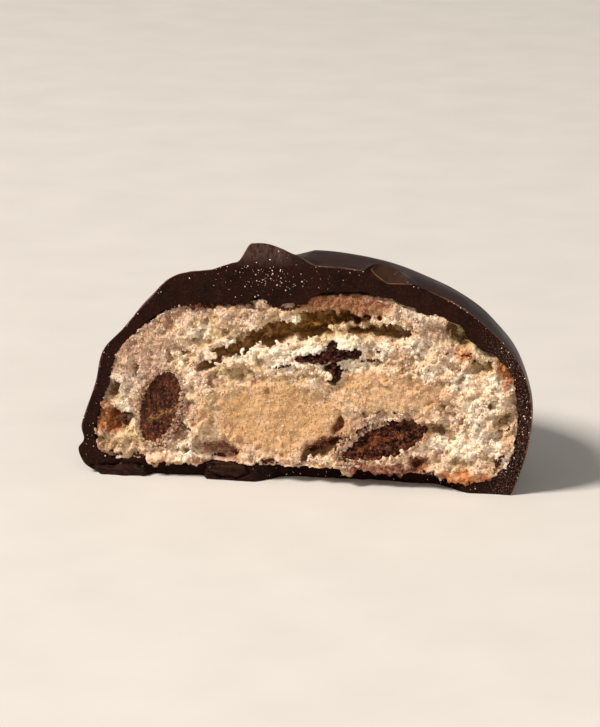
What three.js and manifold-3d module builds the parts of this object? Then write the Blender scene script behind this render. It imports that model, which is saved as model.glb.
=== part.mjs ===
// Half of a round chocolate-covered cookie, about 52 mm across and 28 mm high, cut down through its middle.
//
// A domed, crumbly, pale cookie with chocolate chips baked into it was enrobed in dark chocolate: thick on top,
// thin down the sides and under the base. The knife dragged the top of the coating up into a ridge, and the
// cookie broke into crumbs, with one long crevice below its top crust.
//
// Millimetres, +Z up. The cut face looks along -Y. Shapes are worked out in the whole cookie's own frame, with
// the dome's axis at x = 0, y = 0 and the cut at y = 0. The finished group is moved so that the origin is in
// the middle of the half, on the surface that it stands on.
import * as THREE from "three";
import { ImprovedNoise } from "three/addons/math/ImprovedNoise.js";
import { mergeVertices } from "three/addons/utils/BufferGeometryUtils.js";
import Module from "manifold-3d";

const wasm = await Module();
wasm.setup();

// Driving dimensions, in millimetres.
const GAP = 0.3; // air between two pieces that touch in the real cookie
const BASE_RADIUS = 23.5; // the flat that the cookie stands on
const DOME_TOP = 25.4; // top of the coating on the dome's axis
const COOKIE_TOP = 21.6; // top of the baked cookie on the dome's axis
const COOKIE_FLOOR = 1.95; // underside of the baked cookie, so the base coat is this less GAP
const MIDDLE = { x: -0.15, y: 12.6 }; // the middle of the half cookie, from the dome's axis in the cut
const COATING_WAVE = 0.22; // how far the poured coating wanders in and out
const CRAG = 0.32; // how far the baked outside of the cookie wanders
const SLUMP = 1.5; // how far the dome sank behind the left shoulder of the cut
const SLIVER = 0.03; // detail thinner than this is cleaned off after a cut
const BLOCK = { width: 60, depth: 40, height: 36, floor: -4 }; // the space behind the cut

// Side outlines of the coating as [radius, height], from the edge of the base up to the top. The coating has
// a foot of pooled chocolate and a flat shoulder at the left end of the cut, and bulges evenly at the right.
const COATING = {
  left: [
    [BASE_RADIUS, 0], [25.2, 1.1], [25.9, 2.9], [25.2, 4.0], [25.4, 5.4], [24.8, 7.5], [23.6, 11.0],
    [22.7, 14.6], [20.3, 17.3], [17.2, 20.9], [14.5, 23.5], [9.5, 24.5], [0, DOME_TOP],
  ],
  right: [
    [BASE_RADIUS, 0], [24.0, 1.2], [24.5, 2.8], [25.0, 4.6], [25.4, 6.6], [25.6, 9.0], [25.4, 11.6],
    [24.4, 14.8], [22.6, 17.2], [19.6, 20.0], [16.0, 22.2], [9.5, 24.6], [0, DOME_TOP],
  ],
  back: [
    [BASE_RADIUS, 0], [24.4, 1.0], [25.1, 2.8], [25.4, 4.4], [25.7, 6.4], [25.8, 8.8], [25.3, 12.0],
    [23.9, 15.0], [21.2, 18.3], [18.1, 20.9], [14.4, 23.0], [8.0, 25.1], [0, DOME_TOP],
  ],
};

// The same for the baked cookie inside it.
const COOKIE = {
  left: [
    [21.8, COOKIE_FLOOR], [23.4, 2.9], [23.9, 4.6], [23.4, 7.4], [22.4, 10.5],
    [21.6, 13.7], [19.2, 16.6], [15.6, 19.4], [8.5, 20.7], [0, COOKIE_TOP],
  ],
  right: [
    [21.2, COOKIE_FLOOR], [23.2, 3.7], [23.9, 6.3], [24.1, 8.6], [23.9, 11.2],
    [23.2, 14.0], [20.9, 16.5], [17.8, 19.1], [9.5, 21.9], [0, COOKIE_TOP],
  ],
  back: [
    [21.5, COOKIE_FLOOR], [23.2, 3.4], [23.9, 5.9], [23.9, 8.6], [23.2, 12.0],
    [21.6, 14.8], [19.0, 17.6], [15.4, 19.8], [8.5, 21.8], [0, COOKIE_TOP],
  ],
};

// The two chips that the cut went through: egg-shaped, long axis in the cut, turned by tilt from level.
const CHIPS = {
  chocolate_chip_left: { x: -16.2, z: 8.1, half: [4.6, 2.4], depth: 3.4, tilt: 75, sunk: 0.1 },
  chocolate_chip_right: { x: 8.9, z: 5.4, half: [5.3, 1.95], depth: 3.2, tilt: 20, sunk: 0.7 },
};

// Thin broken shards of chocolate near the middle, as centre lines [x, z] with half thicknesses.
const SHARDS = {
  chocolate_shard_upper: {
    runs: [
      {
        line: [[-0.6, 14.6], [1.2, 14.7], [2.0, 14.5], [2.9, 15.1], [3.6, 16.3]],
        half: [0.2, 0.24, 0.34, 0.38, 0.24],
      },
      { line: [[3.3, 15.0], [4.2, 15.5], [5.2, 15.6], [6.2, 15.3]], half: [0.4, 0.6, 0.5, 0.14] },
    ],
    front: -0.35,
    back: 1.2,
  },
  chocolate_shard_lower: {
    runs: [{ line: [[3.2, 13.9], [3.7, 13.3], [3.4, 12.6], [3.1, 12.1]], half: [0.6, 0.62, 0.42, 0.28] }],
    front: -0.15,
    back: 1.3,
  },
};

// The knife dragged the top of the coating up into a ridge, and chipped a flap to the right of it. Each rises
// from the dome between start and end, is highest between the two middle values, and dies away behind the cut.
const DRAGGED = [
  { x: [-9.6, -5.7, -4.7, 1.8], height: 2.9, reach: 3.2 },
  { x: [6.4, 8.4, 9.0, 12.8], height: 1.2, reach: 2.2 },
];

// The crevice below the top crust, and the smaller pits in the crumb, as ellipses turned by tilt.
const CREVICE = { z: 19.2, halfWidth: 11.6, halfHeight: 1.9, depth: 3.4, sag: 0.021, sagCentre: 5 };
const PITS = [
  { x: 17.2, z: 18.0, half: [1.9, 1.2], tilt: -35, depth: 1.5 },
  { x: 19.9, z: 14.3, half: [1.7, 1.1], tilt: 20, depth: 1.2 },
  { x: 22.6, z: 8.6, half: [1.0, 0.7], tilt: 30, depth: 1.1 },
  { x: 15.4, z: 6.8, half: [2.0, 0.9], tilt: -20, depth: 1.3 },
  { x: -21.2, z: 6.4, half: [1.5, 1.7], tilt: 0, depth: 1.5 },
  { x: -21.6, z: 9.9, half: [0.8, 1.3], tilt: 0, depth: 0.9 },
  { x: -6.4, z: 12.2, half: [2.6, 0.7], tilt: -10, depth: 0.9 },
  { x: 2.0, z: 4.0, half: [3.6, 0.9], tilt: 28, depth: 1.4 },
  { x: -9.6, z: 3.2, half: [2.8, 1.1], tilt: -8, depth: 0.9 },
];

// The rest of the crumb's relief: crumbs of two sizes, as wide and as proud as given, on a slowly waving face;
// the moist, close-grained middle, where they are low; and the top crust, which hangs back under the coating.
const CRUMBS = [
  { size: 2.4, height: 1.0 },
  { size: 1.3, height: 0.5 },
];
const FACE_WAVE = { size: 5, height: 0.35 };
const DENSE = { x: -3.2, z: 7.6, half: [8.2, 4.6], smooth: 0.75 };
const CRUST = { x: 2, from: 19.8, to: 22, inner: 8, outer: 13, depth: 1.1 };

// The coating's cut face: how it waves, how the knife left it leaning back over the ridge and the flap, and
// where the thin base coat broke away.
const CUT_WAVE = { size: 6, height: 0.22 };
const RIDGE_LEAN = { from: 24.6, to: 27.7, depth: 0.9 };
const FLAP_LEAN = { left: 6.6, right: 8.4, from: 23.7, to: 25.6, depth: 1.3 };
const BASE_CHIP = { from: -6, to: 19, edge: 4.5, top: 2.4, depth: 2.8 };

const noise = new ImprovedNoise();

const ramp = THREE.MathUtils.smoothstep; // 0 below the first edge, 1 above the second

// Gradient noise in steps of half the size and half the strength, from about -1 to 1.
function fractal(x, y, z, octaves) {
  let sum = 0;
  for (let octave = 0, scale = 1; octave < octaves; octave++, scale *= 2)
    sum += noise.noise(x * scale, y * scale, z * scale) / scale;
  return sum;
}

// A fixed pseudo-random number from 0 to 1 for a cell of a grid.
function cellRandom(column, row, salt) {
  let h = Math.imul(column, 374761393) ^ Math.imul(row, 668265263) ^ Math.imul(salt, 974634777);
  h = Math.imul(h ^ (h >>> 13), 1274126177);
  return ((h ^ (h >>> 16)) >>> 0) / 4294967296;
}

// Rounded crumbs about `size` across: 1 on top of a crumb, falling to 0 in the creases between crumbs.
function crumbs(x, z, size) {
  let nearest = Infinity;
  const column = Math.floor(x / size);
  const row = Math.floor(z / size);
  for (let i = column - 1; i <= column + 1; i++)
    for (let j = row - 1; j <= row + 1; j++) {
      const centreX = (i + cellRandom(i, j, 1)) * size;
      const centreZ = (j + cellRandom(i, j, 2)) * size;
      nearest = Math.min(nearest, Math.hypot(x - centreX, z - centreZ));
    }
  return Math.max(0, 1 - (nearest / size) ** 2);
}

// 1 at the middle of an ellipse turned by tilt degrees, 0 on its outline and outside it.
function dish(x, z, { x: centreX, z: centreZ, half: [across, up], tilt = 0 }) {
  const turn = THREE.MathUtils.degToRad(tilt);
  const along = (x - centreX) * Math.cos(turn) + (z - centreZ) * Math.sin(turn);
  const aside = (z - centreZ) * Math.cos(turn) - (x - centreX) * Math.sin(turn);
  return Math.max(0, 1 - (along / across) ** 2 - (aside / up) ** 2);
}

// How deep the crevice is at a point: steep under the top crust, and ragged at both ends.
function creviceDepth(x, z) {
  const middle = CREVICE.z - CREVICE.sag * (x - CREVICE.sagCentre) ** 2 + 0.45 * noise.noise(x / 2.3, 0, 7);
  const open = Math.sqrt(Math.max(0, 1 - (x / CREVICE.halfWidth) ** 2));
  const half = CREVICE.halfHeight * open * (1 + 0.35 * noise.noise(x / 1.9, 3, 1));
  return half > 0.1 ? CREVICE.depth * ramp(1 - Math.abs(z - middle) / half, 0, 1) * open : 0;
}

// The broken face of the crumb: y at (x, z), positive into the cookie.
function crumbFace(x, z) {
  let y = 0.85 - FACE_WAVE.height * fractal(x / FACE_WAVE.size, z / FACE_WAVE.size, 2, 2);
  const rough = 1 - DENSE.smooth * Math.sqrt(dish(x, z, DENSE));
  for (const { size, height } of CRUMBS) y -= rough * height * crumbs(x, z, size);
  y += CRUST.depth * ramp(z, CRUST.from, CRUST.to) * (1 - ramp(Math.abs(x - CRUST.x), CRUST.inner, CRUST.outer));
  y += creviceDepth(x, z);
  for (const pit of PITS) y += pit.depth * Math.sqrt(dish(x, z, pit));
  return y;
}

// The cut face of the coating: y at (x, z), positive into the coating.
function coatingFace(x, z) {
  let y = CUT_WAVE.height * fractal(x / CUT_WAVE.size, z / CUT_WAVE.size, 9, 2);
  y += RIDGE_LEAN.depth * ramp(z, RIDGE_LEAN.from, RIDGE_LEAN.to);
  y += FLAP_LEAN.depth * ramp(x, FLAP_LEAN.left, FLAP_LEAN.right) * ramp(z, FLAP_LEAN.from, FLAP_LEAN.to);
  const { from, to, edge, top, depth } = BASE_CHIP;
  y += depth * ramp(x, from, from + edge) * (1 - ramp(x, to - edge, to)) * (1 - ramp(z, top - 0.6, top));
  return y;
}

// The snapped face of a chip, with faint steps across it.
const chipFace = (sunk) => (x, z) => sunk + 0.18 * fractal(x / 1.6, z / 1.6, 5, 2);

// A closed geometry as a manifold-3d solid, with its shared vertices merged and collapsed triangles dropped.
function solidOf(geometry) {
  const bare = geometry.clone().deleteAttribute("normal").deleteAttribute("uv");
  const merged = mergeVertices(bare, 1e-4);
  const index = merged.index.array;
  const kept = [];
  for (let i = 0; i < index.length; i += 3) {
    const [a, b, c] = index.slice(i, i + 3);
    if (a !== b && b !== c && c !== a) kept.push(a, b, c);
  }
  return new wasm.Manifold(
    new wasm.Mesh({
      numProp: 3,
      vertProperties: new Float32Array(merged.attributes.position.array),
      triVerts: new Uint32Array(kept),
    }),
  );
}

// Moves every vertex of a geometry: place is given the vertex and changes it.
function reshape(geometry, place) {
  const position = geometry.attributes.position;
  const point = new THREE.Vector3();
  for (let i = 0; i < position.count; i++) {
    point.fromBufferAttribute(position, i);
    place(point, i);
    position.setXYZ(i, point.x, point.y, point.z);
  }
  return geometry;
}

// How far the dome sank at a point: most behind the left shoulder, and not at the cut or the sides.
function slump(x, y, z) {
  return SLUMP * Math.max(0, (-2 * x * y) / (x * x + y * y + 25)) * ramp(z, 10, 20);
}

// How high the knife dragged the coating up at a point of the dome.
function dragged(x, y) {
  let height = 0;
  for (const { x: [start, rising, falling, end], height: top, reach } of DRAGGED)
    height += top * ramp(x, start, rising) * (1 - ramp(x, falling, end)) * Math.exp(-((y / reach) ** 2));
  return height;
}

// A dome whose side outline changes round it: the left and right outlines at the ends of the cut, and the
// back one between them. It is a lathe of 1 mm radius whose rings are then moved out to the outline, which
// stands out by grow all over, and by wander(share of the way up, x, y, z) where the surface is uneven.
function dome(outlines, around, along, grow, wander) {
  const curves = {};
  for (const side of Object.keys(outlines)) {
    const knots = outlines[side].map(([radius, height]) => new THREE.Vector3(radius, height, 0));
    curves[side] = new THREE.CatmullRomCurve3(knots, false, "centripetal");
  }
  const floor = outlines.left[0][1] - grow;
  const rungs = [new THREE.Vector2(0, 0)];
  for (let i = 0; i < along; i++) rungs.push(new THREE.Vector2(1, i + 1));
  rungs.push(new THREE.Vector2(0, along + 1));
  const outlineAt = (share, cos) => {
    const end = (cos > 0 ? curves.right : curves.left).getPointAt(share);
    return curves.back.getPointAt(share).lerp(end, cos * cos);
  };
  return reshape(new THREE.LatheGeometry(rungs, around), (point, i) => {
    const rung = i % rungs.length;
    const angle = (Math.floor(i / rungs.length) % around) * ((2 * Math.PI) / around);
    const cos = Math.cos(angle);
    const sin = Math.sin(angle);
    const share = Math.max(0, rung - 1) / along;
    const here = outlineAt(share, cos);
    const rise = outlineAt(Math.min(1, share + 0.01), cos).sub(outlineAt(Math.max(0, share - 0.01), cos));
    rise.normalize();
    const out = grow + wander(share, here.x * cos, here.x * sin, here.y);
    const onAxis = rung === 0 || rung > along;
    const radius = onAxis ? 0 : here.x + out * (rung === 1 ? 1 : rise.y);
    const height = here.y - out * rise.x - slump(here.x * cos, here.x * sin, here.y);
    point.set(radius * cos, radius * sin, rung < 2 ? floor : height);
  });
}

// Everything behind a face y = face(x, z): a block whose front is a grid of the given cell size.
function behind(face, cell) {
  const { width, depth, height, floor } = BLOCK;
  const [across, up] = [width, height].map((length) => Math.round(length / cell));
  const block = new THREE.BoxGeometry(width, depth, height, across, 1, up);
  block.translate(0, depth / 2, height / 2 + floor);
  return solidOf(reshape(block, (point) => point.setY(point.y < depth / 2 ? face(point.x, point.z) : depth)));
}

// A ribbon of the given half widths along a centre line in the cut, from front to back.
function ribbon({ line, half }, front, back, grow) {
  const sides = [[], []];
  line.forEach(([x, z], i) => {
    const [fromX, fromZ] = line[Math.max(0, i - 1)];
    const [toX, toZ] = line[Math.min(line.length - 1, i + 1)];
    const length = Math.hypot(toX - fromX, toZ - fromZ);
    const [alongX, alongZ] = [(toX - fromX) / length, (toZ - fromZ) / length];
    const end = i === 0 ? -grow : i === line.length - 1 ? grow : 0;
    const width = half[i] + grow;
    for (const side of [0, 1]) {
      const across = side ? -width : width;
      sides[side].push(new THREE.Vector2(x + alongX * end - alongZ * across, z + alongZ * end + alongX * across));
    }
  });
  const shape = new THREE.Shape([...sides[0], ...sides[1].reverse()]);
  const depth = back - front + 2 * grow;
  const geometry = new THREE.ExtrudeGeometry(shape, { depth, bevelEnabled: false, steps: 2 });
  return solidOf(reshape(geometry, (point) => point.set(point.x, back + grow - point.z, point.y)));
}

// A shard of one or more ribbons, or with grow the pocket that holds it.
function shardSolid({ runs, front, back }, grow) {
  return runs.map((run) => ribbon(run, front, back, grow)).reduce((whole, run) => whole.add(run));
}

// A chip before the cut: an uneven egg, or with grow the pocket that holds it.
function chipSolid({ x, z, half: [long, short], depth, tilt }, grow) {
  const egg = new THREE.SphereGeometry(1, 22, 14);
  reshape(egg, (point) => {
    const lump = 1 + 0.05 * fractal(point.x * 1.6 + x, point.y * 1.6, point.z * 1.6, 2);
    const blunt = 1 - 0.14 * point.x; // one end is blunter than the other
    const size = new THREE.Vector3(long, depth * blunt, short * blunt).multiplyScalar(lump).addScalar(grow);
    point.multiply(size);
  });
  egg.rotateY(-THREE.MathUtils.degToRad(tilt));
  egg.translate(x, 0.5, z);
  return solidOf(egg);
}

// A cut solid without the slivers and the loose scraps that cutting leaves.
function clean(solid) {
  const bodies = solid.simplify(SLIVER).decompose();
  return bodies.sort((a, b) => b.volume() - a.volume())[0];
}

// A solid as a named mesh with its material.
function piece(name, solid, material) {
  const { vertProperties, triVerts } = solid.getMesh();
  const geometry = new THREE.BufferGeometry();
  geometry.setAttribute("position", new THREE.BufferAttribute(vertProperties, 3));
  geometry.setIndex(new THREE.BufferAttribute(triVerts, 1));
  geometry.computeVertexNormals();
  const mesh = new THREE.Mesh(geometry, material);
  mesh.name = name;
  return mesh;
}

const coatingMaterial = new THREE.MeshStandardMaterial({ color: 0x2e1712, roughness: 0.38, metalness: 0 });
const cookieMaterial = new THREE.MeshStandardMaterial({ color: 0xe2c49c, roughness: 0.95, metalness: 0 });
const chipMaterial = new THREE.MeshStandardMaterial({ color: 0x4a261a, roughness: 0.8, metalness: 0 });

// How the baked outside of the cookie and the poured coating wander: not at the flat base, nor at the very top.
const baking = (share, x, y, z) =>
  CRAG * fractal(x / 2.6, y / 2.6, z / 2.6, 2) * ramp(share, 0, 0.1) * (1 - ramp(share, 0.85, 1));
const pouring = (share, x, y, z) =>
  COATING_WAVE * fractal(x / 9, y / 9, z / 9, 2) * ramp(share, 0, 0.15) + dragged(x, y) * ramp(z, 18, 22);

const poured = solidOf(dome(COATING, 64, 42, 0, pouring));
const hollow = solidOf(dome(COOKIE, 40, 38, GAP, baking));
const baked = solidOf(dome(COOKIE, 40, 38, 0, baking));

const coating = poured.subtract(hollow).intersect(behind(coatingFace, 0.85));
let cookie = baked.intersect(behind(crumbFace, 0.72));

const half = new THREE.Group();
for (const [name, chip] of Object.entries(CHIPS)) {
  cookie = cookie.subtract(chipSolid(chip, GAP));
  half.add(piece(name, chipSolid(chip, 0).intersect(behind(chipFace(chip.sunk), 0.9)), chipMaterial));
}
for (const [name, shard] of Object.entries(SHARDS)) {
  cookie = cookie.subtract(shardSolid(shard, GAP));
  half.add(piece(name, shardSolid(shard, 0), chipMaterial));
}
half.add(piece("cookie", clean(cookie), cookieMaterial));
half.add(piece("chocolate_coating", clean(coating), coatingMaterial));

half.position.set(-MIDDLE.x, -MIDDLE.y, 0);
const part = new THREE.Group();
part.add(half);

export default part;
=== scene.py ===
"""Looks of half a round chocolate-covered cookie, cut open.

Shapes are worked out in millimetres in the whole cookie's own frame: the dome's axis is at x = 0, y = 0, the
cut is at y = 0 and looks along -Y, and the cookie stands on z = 0. Each finished piece is then brought to the
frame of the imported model, in metres.
"""

import math
import random

import bmesh
import bpy
import numpy as np
from mathutils import Matrix, Vector, noise
from mathutils.bvhtree import BVHTree


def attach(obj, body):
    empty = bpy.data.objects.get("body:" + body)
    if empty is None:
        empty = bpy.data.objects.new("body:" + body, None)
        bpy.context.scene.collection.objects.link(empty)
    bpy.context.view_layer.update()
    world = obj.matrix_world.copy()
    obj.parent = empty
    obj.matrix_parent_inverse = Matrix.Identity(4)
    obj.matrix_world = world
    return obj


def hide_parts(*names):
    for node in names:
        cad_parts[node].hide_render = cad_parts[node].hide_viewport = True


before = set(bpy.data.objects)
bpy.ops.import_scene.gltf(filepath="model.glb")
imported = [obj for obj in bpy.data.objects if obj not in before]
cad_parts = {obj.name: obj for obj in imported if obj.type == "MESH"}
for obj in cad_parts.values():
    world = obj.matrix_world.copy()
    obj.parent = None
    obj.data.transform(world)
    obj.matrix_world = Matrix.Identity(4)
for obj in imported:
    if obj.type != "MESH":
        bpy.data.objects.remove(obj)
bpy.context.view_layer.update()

MIDDLE = (-0.15, 12.6)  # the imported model's origin, seen from the dome's axis in the cut
FROM_ROW = Matrix.Translation((MIDDLE[0], MIDDLE[1], 0)) @ Matrix.Scale(1000, 4)
TO_ROW = FROM_ROW.inverted()

# ---------------------------------------------------------------- shape, in millimetres

BASE_RADIUS = 23.5
# Outlines of the coating's outside and of the cookie in it, as (distance from the axis, z) from the base up,
# toward the cut's left and right ends and straight back. Round the dome they pass into one another.
COATING = {
    "left": [(BASE_RADIUS, 0), (25.2, 1.1), (25.9, 2.9), (25.2, 4.0), (25.4, 5.4), (24.8, 7.5), (23.6, 11.0),
             (22.7, 14.6), (20.3, 17.3), (17.2, 20.9), (14.5, 23.5), (9.5, 24.5), (0, 25.4)],
    "right": [(BASE_RADIUS, 0), (24.0, 1.2), (24.5, 2.8), (25.0, 4.6), (25.4, 6.6), (25.6, 9.0), (25.4, 11.6),
              (24.4, 14.8), (22.6, 17.2), (19.6, 20.0), (16.0, 22.2), (9.5, 24.6), (0, 25.4)],
    "back": [(BASE_RADIUS, 0), (24.4, 1.0), (25.1, 2.8), (25.4, 4.4), (25.7, 6.4), (25.8, 8.8), (25.3, 12.0),
             (23.9, 15.0), (21.2, 18.3), (18.1, 20.9), (14.4, 23.0), (8.0, 25.1), (0, 25.4)],
}
COOKIE = {
    "left": [(21.8, 1.95), (23.4, 2.9), (23.9, 4.6), (23.4, 7.4), (22.4, 10.5),
             (21.6, 13.7), (19.2, 16.6), (15.6, 19.4), (8.5, 20.7), (0, 21.6)],
    "right": [(21.2, 1.95), (23.2, 3.7), (23.9, 6.3), (24.1, 8.6), (23.9, 11.2),
              (23.2, 14.0), (20.9, 16.5), (17.8, 19.1), (9.5, 21.9), (0, 21.6)],
    "back": [(21.5, 1.95), (23.2, 3.4), (23.9, 5.9), (23.9, 8.6), (23.2, 12.0),
             (21.6, 14.8), (19.0, 17.6), (15.4, 19.8), (8.5, 21.8), (0, 21.6)],
}
COATING_WAVE = 0.2
SLUMP = 1.5
# Where the knife dragged the top edge up: x where that starts, is full, is full up to and ends.
DRAGGED = [
    {"x": (-10.4, -5.6, -4.8, 1.9), "height": 2.9, "reach": 3.2, "steep": 0.6},
    {"x": (6.4, 8.4, 9.0, 12.8), "height": 1.2, "reach": 2.2, "steep": 0},
]
# The flat that the knife left on the flap, as corners (x, z).
FLAP_FACET = [(7.5, 25.03), (7.98, 24.56), (9.44, 23.63), (12.55, 23.69), (10.8, 25.45), (8.66, 25.98)]
# Two thin flakes of the base coat that stand off at the left, as corners (x, z).
BASE_FLAKES = [
    [(-11.1, 1.4), (-10.7, 0.9), (-9.2, 0.4), (-7.6, 0.3), (-6.2, 1.0), (-6.4, 1.85), (-8.0, 2.25),
    (-9.7, 1.9)],
    [(-24.4, 0.9), (-23.2, -0.3), (-18.2, -0.3), (-17.7, 0.5), (-18.0, 1.5), (-20.5, 1.3), (-22.5, 1.5)],
]
# Where the coating hangs over the crumb at the cut: x where that starts, is full, is full up to and ends,
# and how far it hangs.
SAGS = [
    (-9.3, -8.4, -6.6, -5.7, 0.3), (-5.8, -5.2, -4.7, -4.3, -0.35), (-4.2, -3.5, 0.2, 1.1, 0.75),
    (10.0, 11.0, 13.6, 15.4, 0.4), (17.4, 18.8, 20.2, 21.6, 0.75), (-23.4, -22.6, -21.6, -20.4, 0.25),
]
# The knife's ridge and the flap beside it lean back from the cut between two heights.
RIDGE_LEAN = {"from": 24.6, "to": 27.7, "depth": 0.9}
FLAP_LEAN = {"left": 6.6, "right": 8.4, "from": 23.7, "to": 25.6, "depth": 1.3}
# Where the thin base coat broke back: x from and to, how softly it starts and ends, its top and its depth.
BASE_CHIPS = [
    {"from": -6, "to": 19, "edge": 4.5, "top": 2.4, "depth": 2.8},
    {"from": -18.2, "to": -10.9, "edge": 0.9, "top": 2.6, "depth": 1.1},
]


def ramp(value, low, high):
    """0 below low, 1 above high and smooth between them."""
    t = np.clip((value - low) / (high - low), 0, 1)
    return t * t * (3 - 2 * t)


def bumps(points, size, octaves=1, seed=0, basis="PERLIN_ORIGINAL"):
    """Noise at each point, from about -1 to 1, whose bumps are about size millimetres across."""
    shift = Vector((17.3, 5.9, 11.1)) * seed
    scaled = np.asarray(points, float) / size
    return np.array([
        noise.fractal(Vector(p) + shift, 1.0, 2.0, octaves, noise_basis=basis)
        for p in scaled
    ])


def chunks(points, size, seed):
    """Broken chunks about size millimetres across. For each point: how high its chunk's tilted face is, from
    about -1 to 1, how far it is from the gap beside its chunk, and its chunk's own random share."""
    shift = Vector((4.7, 13.1, 8.3)) * seed
    found = []
    for p in np.asarray(points, float) / size:
        at = Vector(p) + shift
        distances, middles = noise.voronoi(at)
        own = noise.cell_vector(middles[0] * 9.1)
        tilt = noise.cell_vector(middles[0] * 5.3 + shift) * 2 - Vector((1, 1, 1))
        found.append((0.9 * own.x - 0.45 + tilt.dot(at - middles[0]), distances[1] - distances[0], own.y))
    return np.array(found).T


def spread(x, y, z):
    """Three arrays of coordinates as one array of points."""
    return np.stack(np.broadcast_arrays(x, y, z), axis=-1).astype(float)


def along_line(knots, share):
    """Points on a smooth line through the knots, at shares of its length."""
    p = np.array(knots, float)
    p = np.vstack([2 * p[0] - p[1], p, 2 * p[-1] - p[-2]])
    runs = []
    for a, b, c, d in zip(p, p[1:], p[2:], p[3:]):
        before, here, after = (np.linalg.norm(q - r) ** 0.5 for q, r in ((b, a), (c, b), (d, c)))
        leave = ((b - a) / before - (c - a) / (before + here) + (c - b) / here) * here
        arrive = ((c - b) / here - (d - b) / (here + after) + (d - c) / after) * here
        t = np.linspace(0, 1, 40, endpoint=False)[:, None]
        runs.append(
            (2 * t**3 - 3 * t**2 + 1) * b + (t**3 - 2 * t**2 + t) * leave
            + (3 * t**2 - 2 * t**3) * c + (t**3 - t**2) * arrive
        )
    line = np.vstack([*runs, p[-2:-1]])
    length = np.concatenate([[0], np.cumsum(np.linalg.norm(np.diff(line, axis=0), axis=1))])
    at = np.asarray(share) * length[-1]
    return np.stack([np.interp(at, length, line[:, k]) for k in (0, 1)], axis=-1)


def gathered(items, what):
    """One vector of each point or face of a mesh, as an array."""
    found = np.empty(len(items) * 3)
    items.foreach_get(what, found)
    return found.reshape(-1, 3)


def coordinates(mesh):
    """The mesh's points as an array."""
    return gathered(mesh.vertices, "co")


def normals(mesh):
    """The mesh's outward directions, one for each point."""
    return gathered(mesh.vertex_normals, "vector")


def place(mesh, points):
    """Moves the mesh's points."""
    mesh.vertices.foreach_set("co", np.asarray(points, float).ravel())
    mesh.update()


def opened(mesh):
    """The mesh as a bmesh, to be reshaped."""
    bm = bmesh.new()
    bm.from_mesh(mesh)
    return bm


def stored(bm, mesh):
    """The mesh, which now holds what the bmesh held."""
    bm.to_mesh(mesh)
    bm.free()
    return mesh


def face_tree(mesh):
    """A tree of the mesh's faces, which finds the points where rays meet them."""
    return BVHTree.FromPolygons([v.co for v in mesh.vertices], [p.vertices[:] for p in mesh.polygons])


def shown(name, mesh):
    """A new object that shows the mesh."""
    made = bpy.data.objects.new(name, mesh)
    bpy.context.scene.collection.objects.link(made)
    return made


def apply_all(piece):
    """Makes what the object's modifiers show its mesh."""
    depsgraph = bpy.context.evaluated_depsgraph_get()
    made = bpy.data.meshes.new_from_object(piece.evaluated_get(depsgraph))
    old = piece.data
    piece.modifiers.clear()
    piece.data = made
    made.name = piece.name
    bpy.data.meshes.remove(old)


def combine(piece, tool, operation):
    """Cuts the tool out of the piece, or keeps what both hold. The tool is used up."""
    change = piece.modifiers.new("combine", "BOOLEAN")
    change.operation = operation
    change.solver = "MANIFOLD"
    change.object = tool
    apply_all(piece)
    bpy.data.objects.remove(tool)


def remesh(piece, cell):
    """One closed skin over everything in the piece, in cells of the given size."""
    change = piece.modifiers.new("skin", "REMESH")
    change.mode = "VOXEL"
    change.voxel_size = cell
    change.use_smooth_shade = True
    apply_all(piece)


def keep_largest(mesh):
    """Drops every island of the mesh but the largest, such as closed bubbles inside it."""
    bm = opened(mesh)
    left = set(bm.verts)
    islands = []
    while left:
        island = []
        reached = [left.pop()]
        while reached:
            vert = reached.pop()
            island.append(vert)
            for link in vert.link_edges:
                other = link.other_vert(vert)
                if other in left:
                    left.discard(other)
                    reached.append(other)
        islands.append(island)
    islands.sort(key=len)
    for island in islands[:-1]:
        bmesh.ops.delete(bm, geom=island, context="VERTS")
    stored(bm, mesh)


def cad_copy(name):
    """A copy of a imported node's mesh in millimetres, with its points merged."""
    bm = opened(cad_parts[name].data)
    bmesh.ops.transform(bm, matrix=FROM_ROW, verts=bm.verts)
    bmesh.ops.remove_doubles(bm, verts=bm.verts, dist=0.002)
    bmesh.ops.recalc_face_normals(bm, faces=bm.faces)
    return stored(bm, bpy.data.meshes.new(name))


def set_values(mesh, name, values):
    """Keeps one number for each point of the mesh, which a material reads by name."""
    layer = mesh.attributes.new(name, "FLOAT", "POINT")
    layer.data.foreach_set("value", np.asarray(values, np.float32))


def within(spot, x, z):
    """Places along and across a tilted ellipse, in shares of its half sizes. The spot is its middle's x and
    z, half its width, half its height and its tilt in degrees."""
    centre_x, centre_z, across, up, tilt = spot
    c, s = math.cos(math.radians(tilt)), math.sin(math.radians(tilt))
    return ((x - centre_x) * c + (z - centre_z) * s) / across, ((z - centre_z) * c - (x - centre_x) * s) / up


def ellipse(x, z, spot, sharp=1.0):
    """1 in the middle of a tilted ellipse, 0 outside it."""
    u, w = within(spot, x, z)
    return np.clip((1 - u * u - w * w) * sharp, 0, 1)


def strongest(x, z, spots, sharp):
    """How strong the strongest of the spots is at each point, of spots that are an ellipse and a strength."""
    found = 0 * x
    for spot, strength in spots:
        found = np.maximum(found, strength * np.minimum(1, sharp * ellipse(x, z, spot)))
    return found


# ---------------------------------------------------------------- coating


def slump(x, y, z):
    """How far the dome sank behind the left shoulder of the cut."""
    return SLUMP * np.maximum(0, (-2 * x * y) / (x * x + y * y + 25)) * ramp(z, 10, 20)


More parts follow.
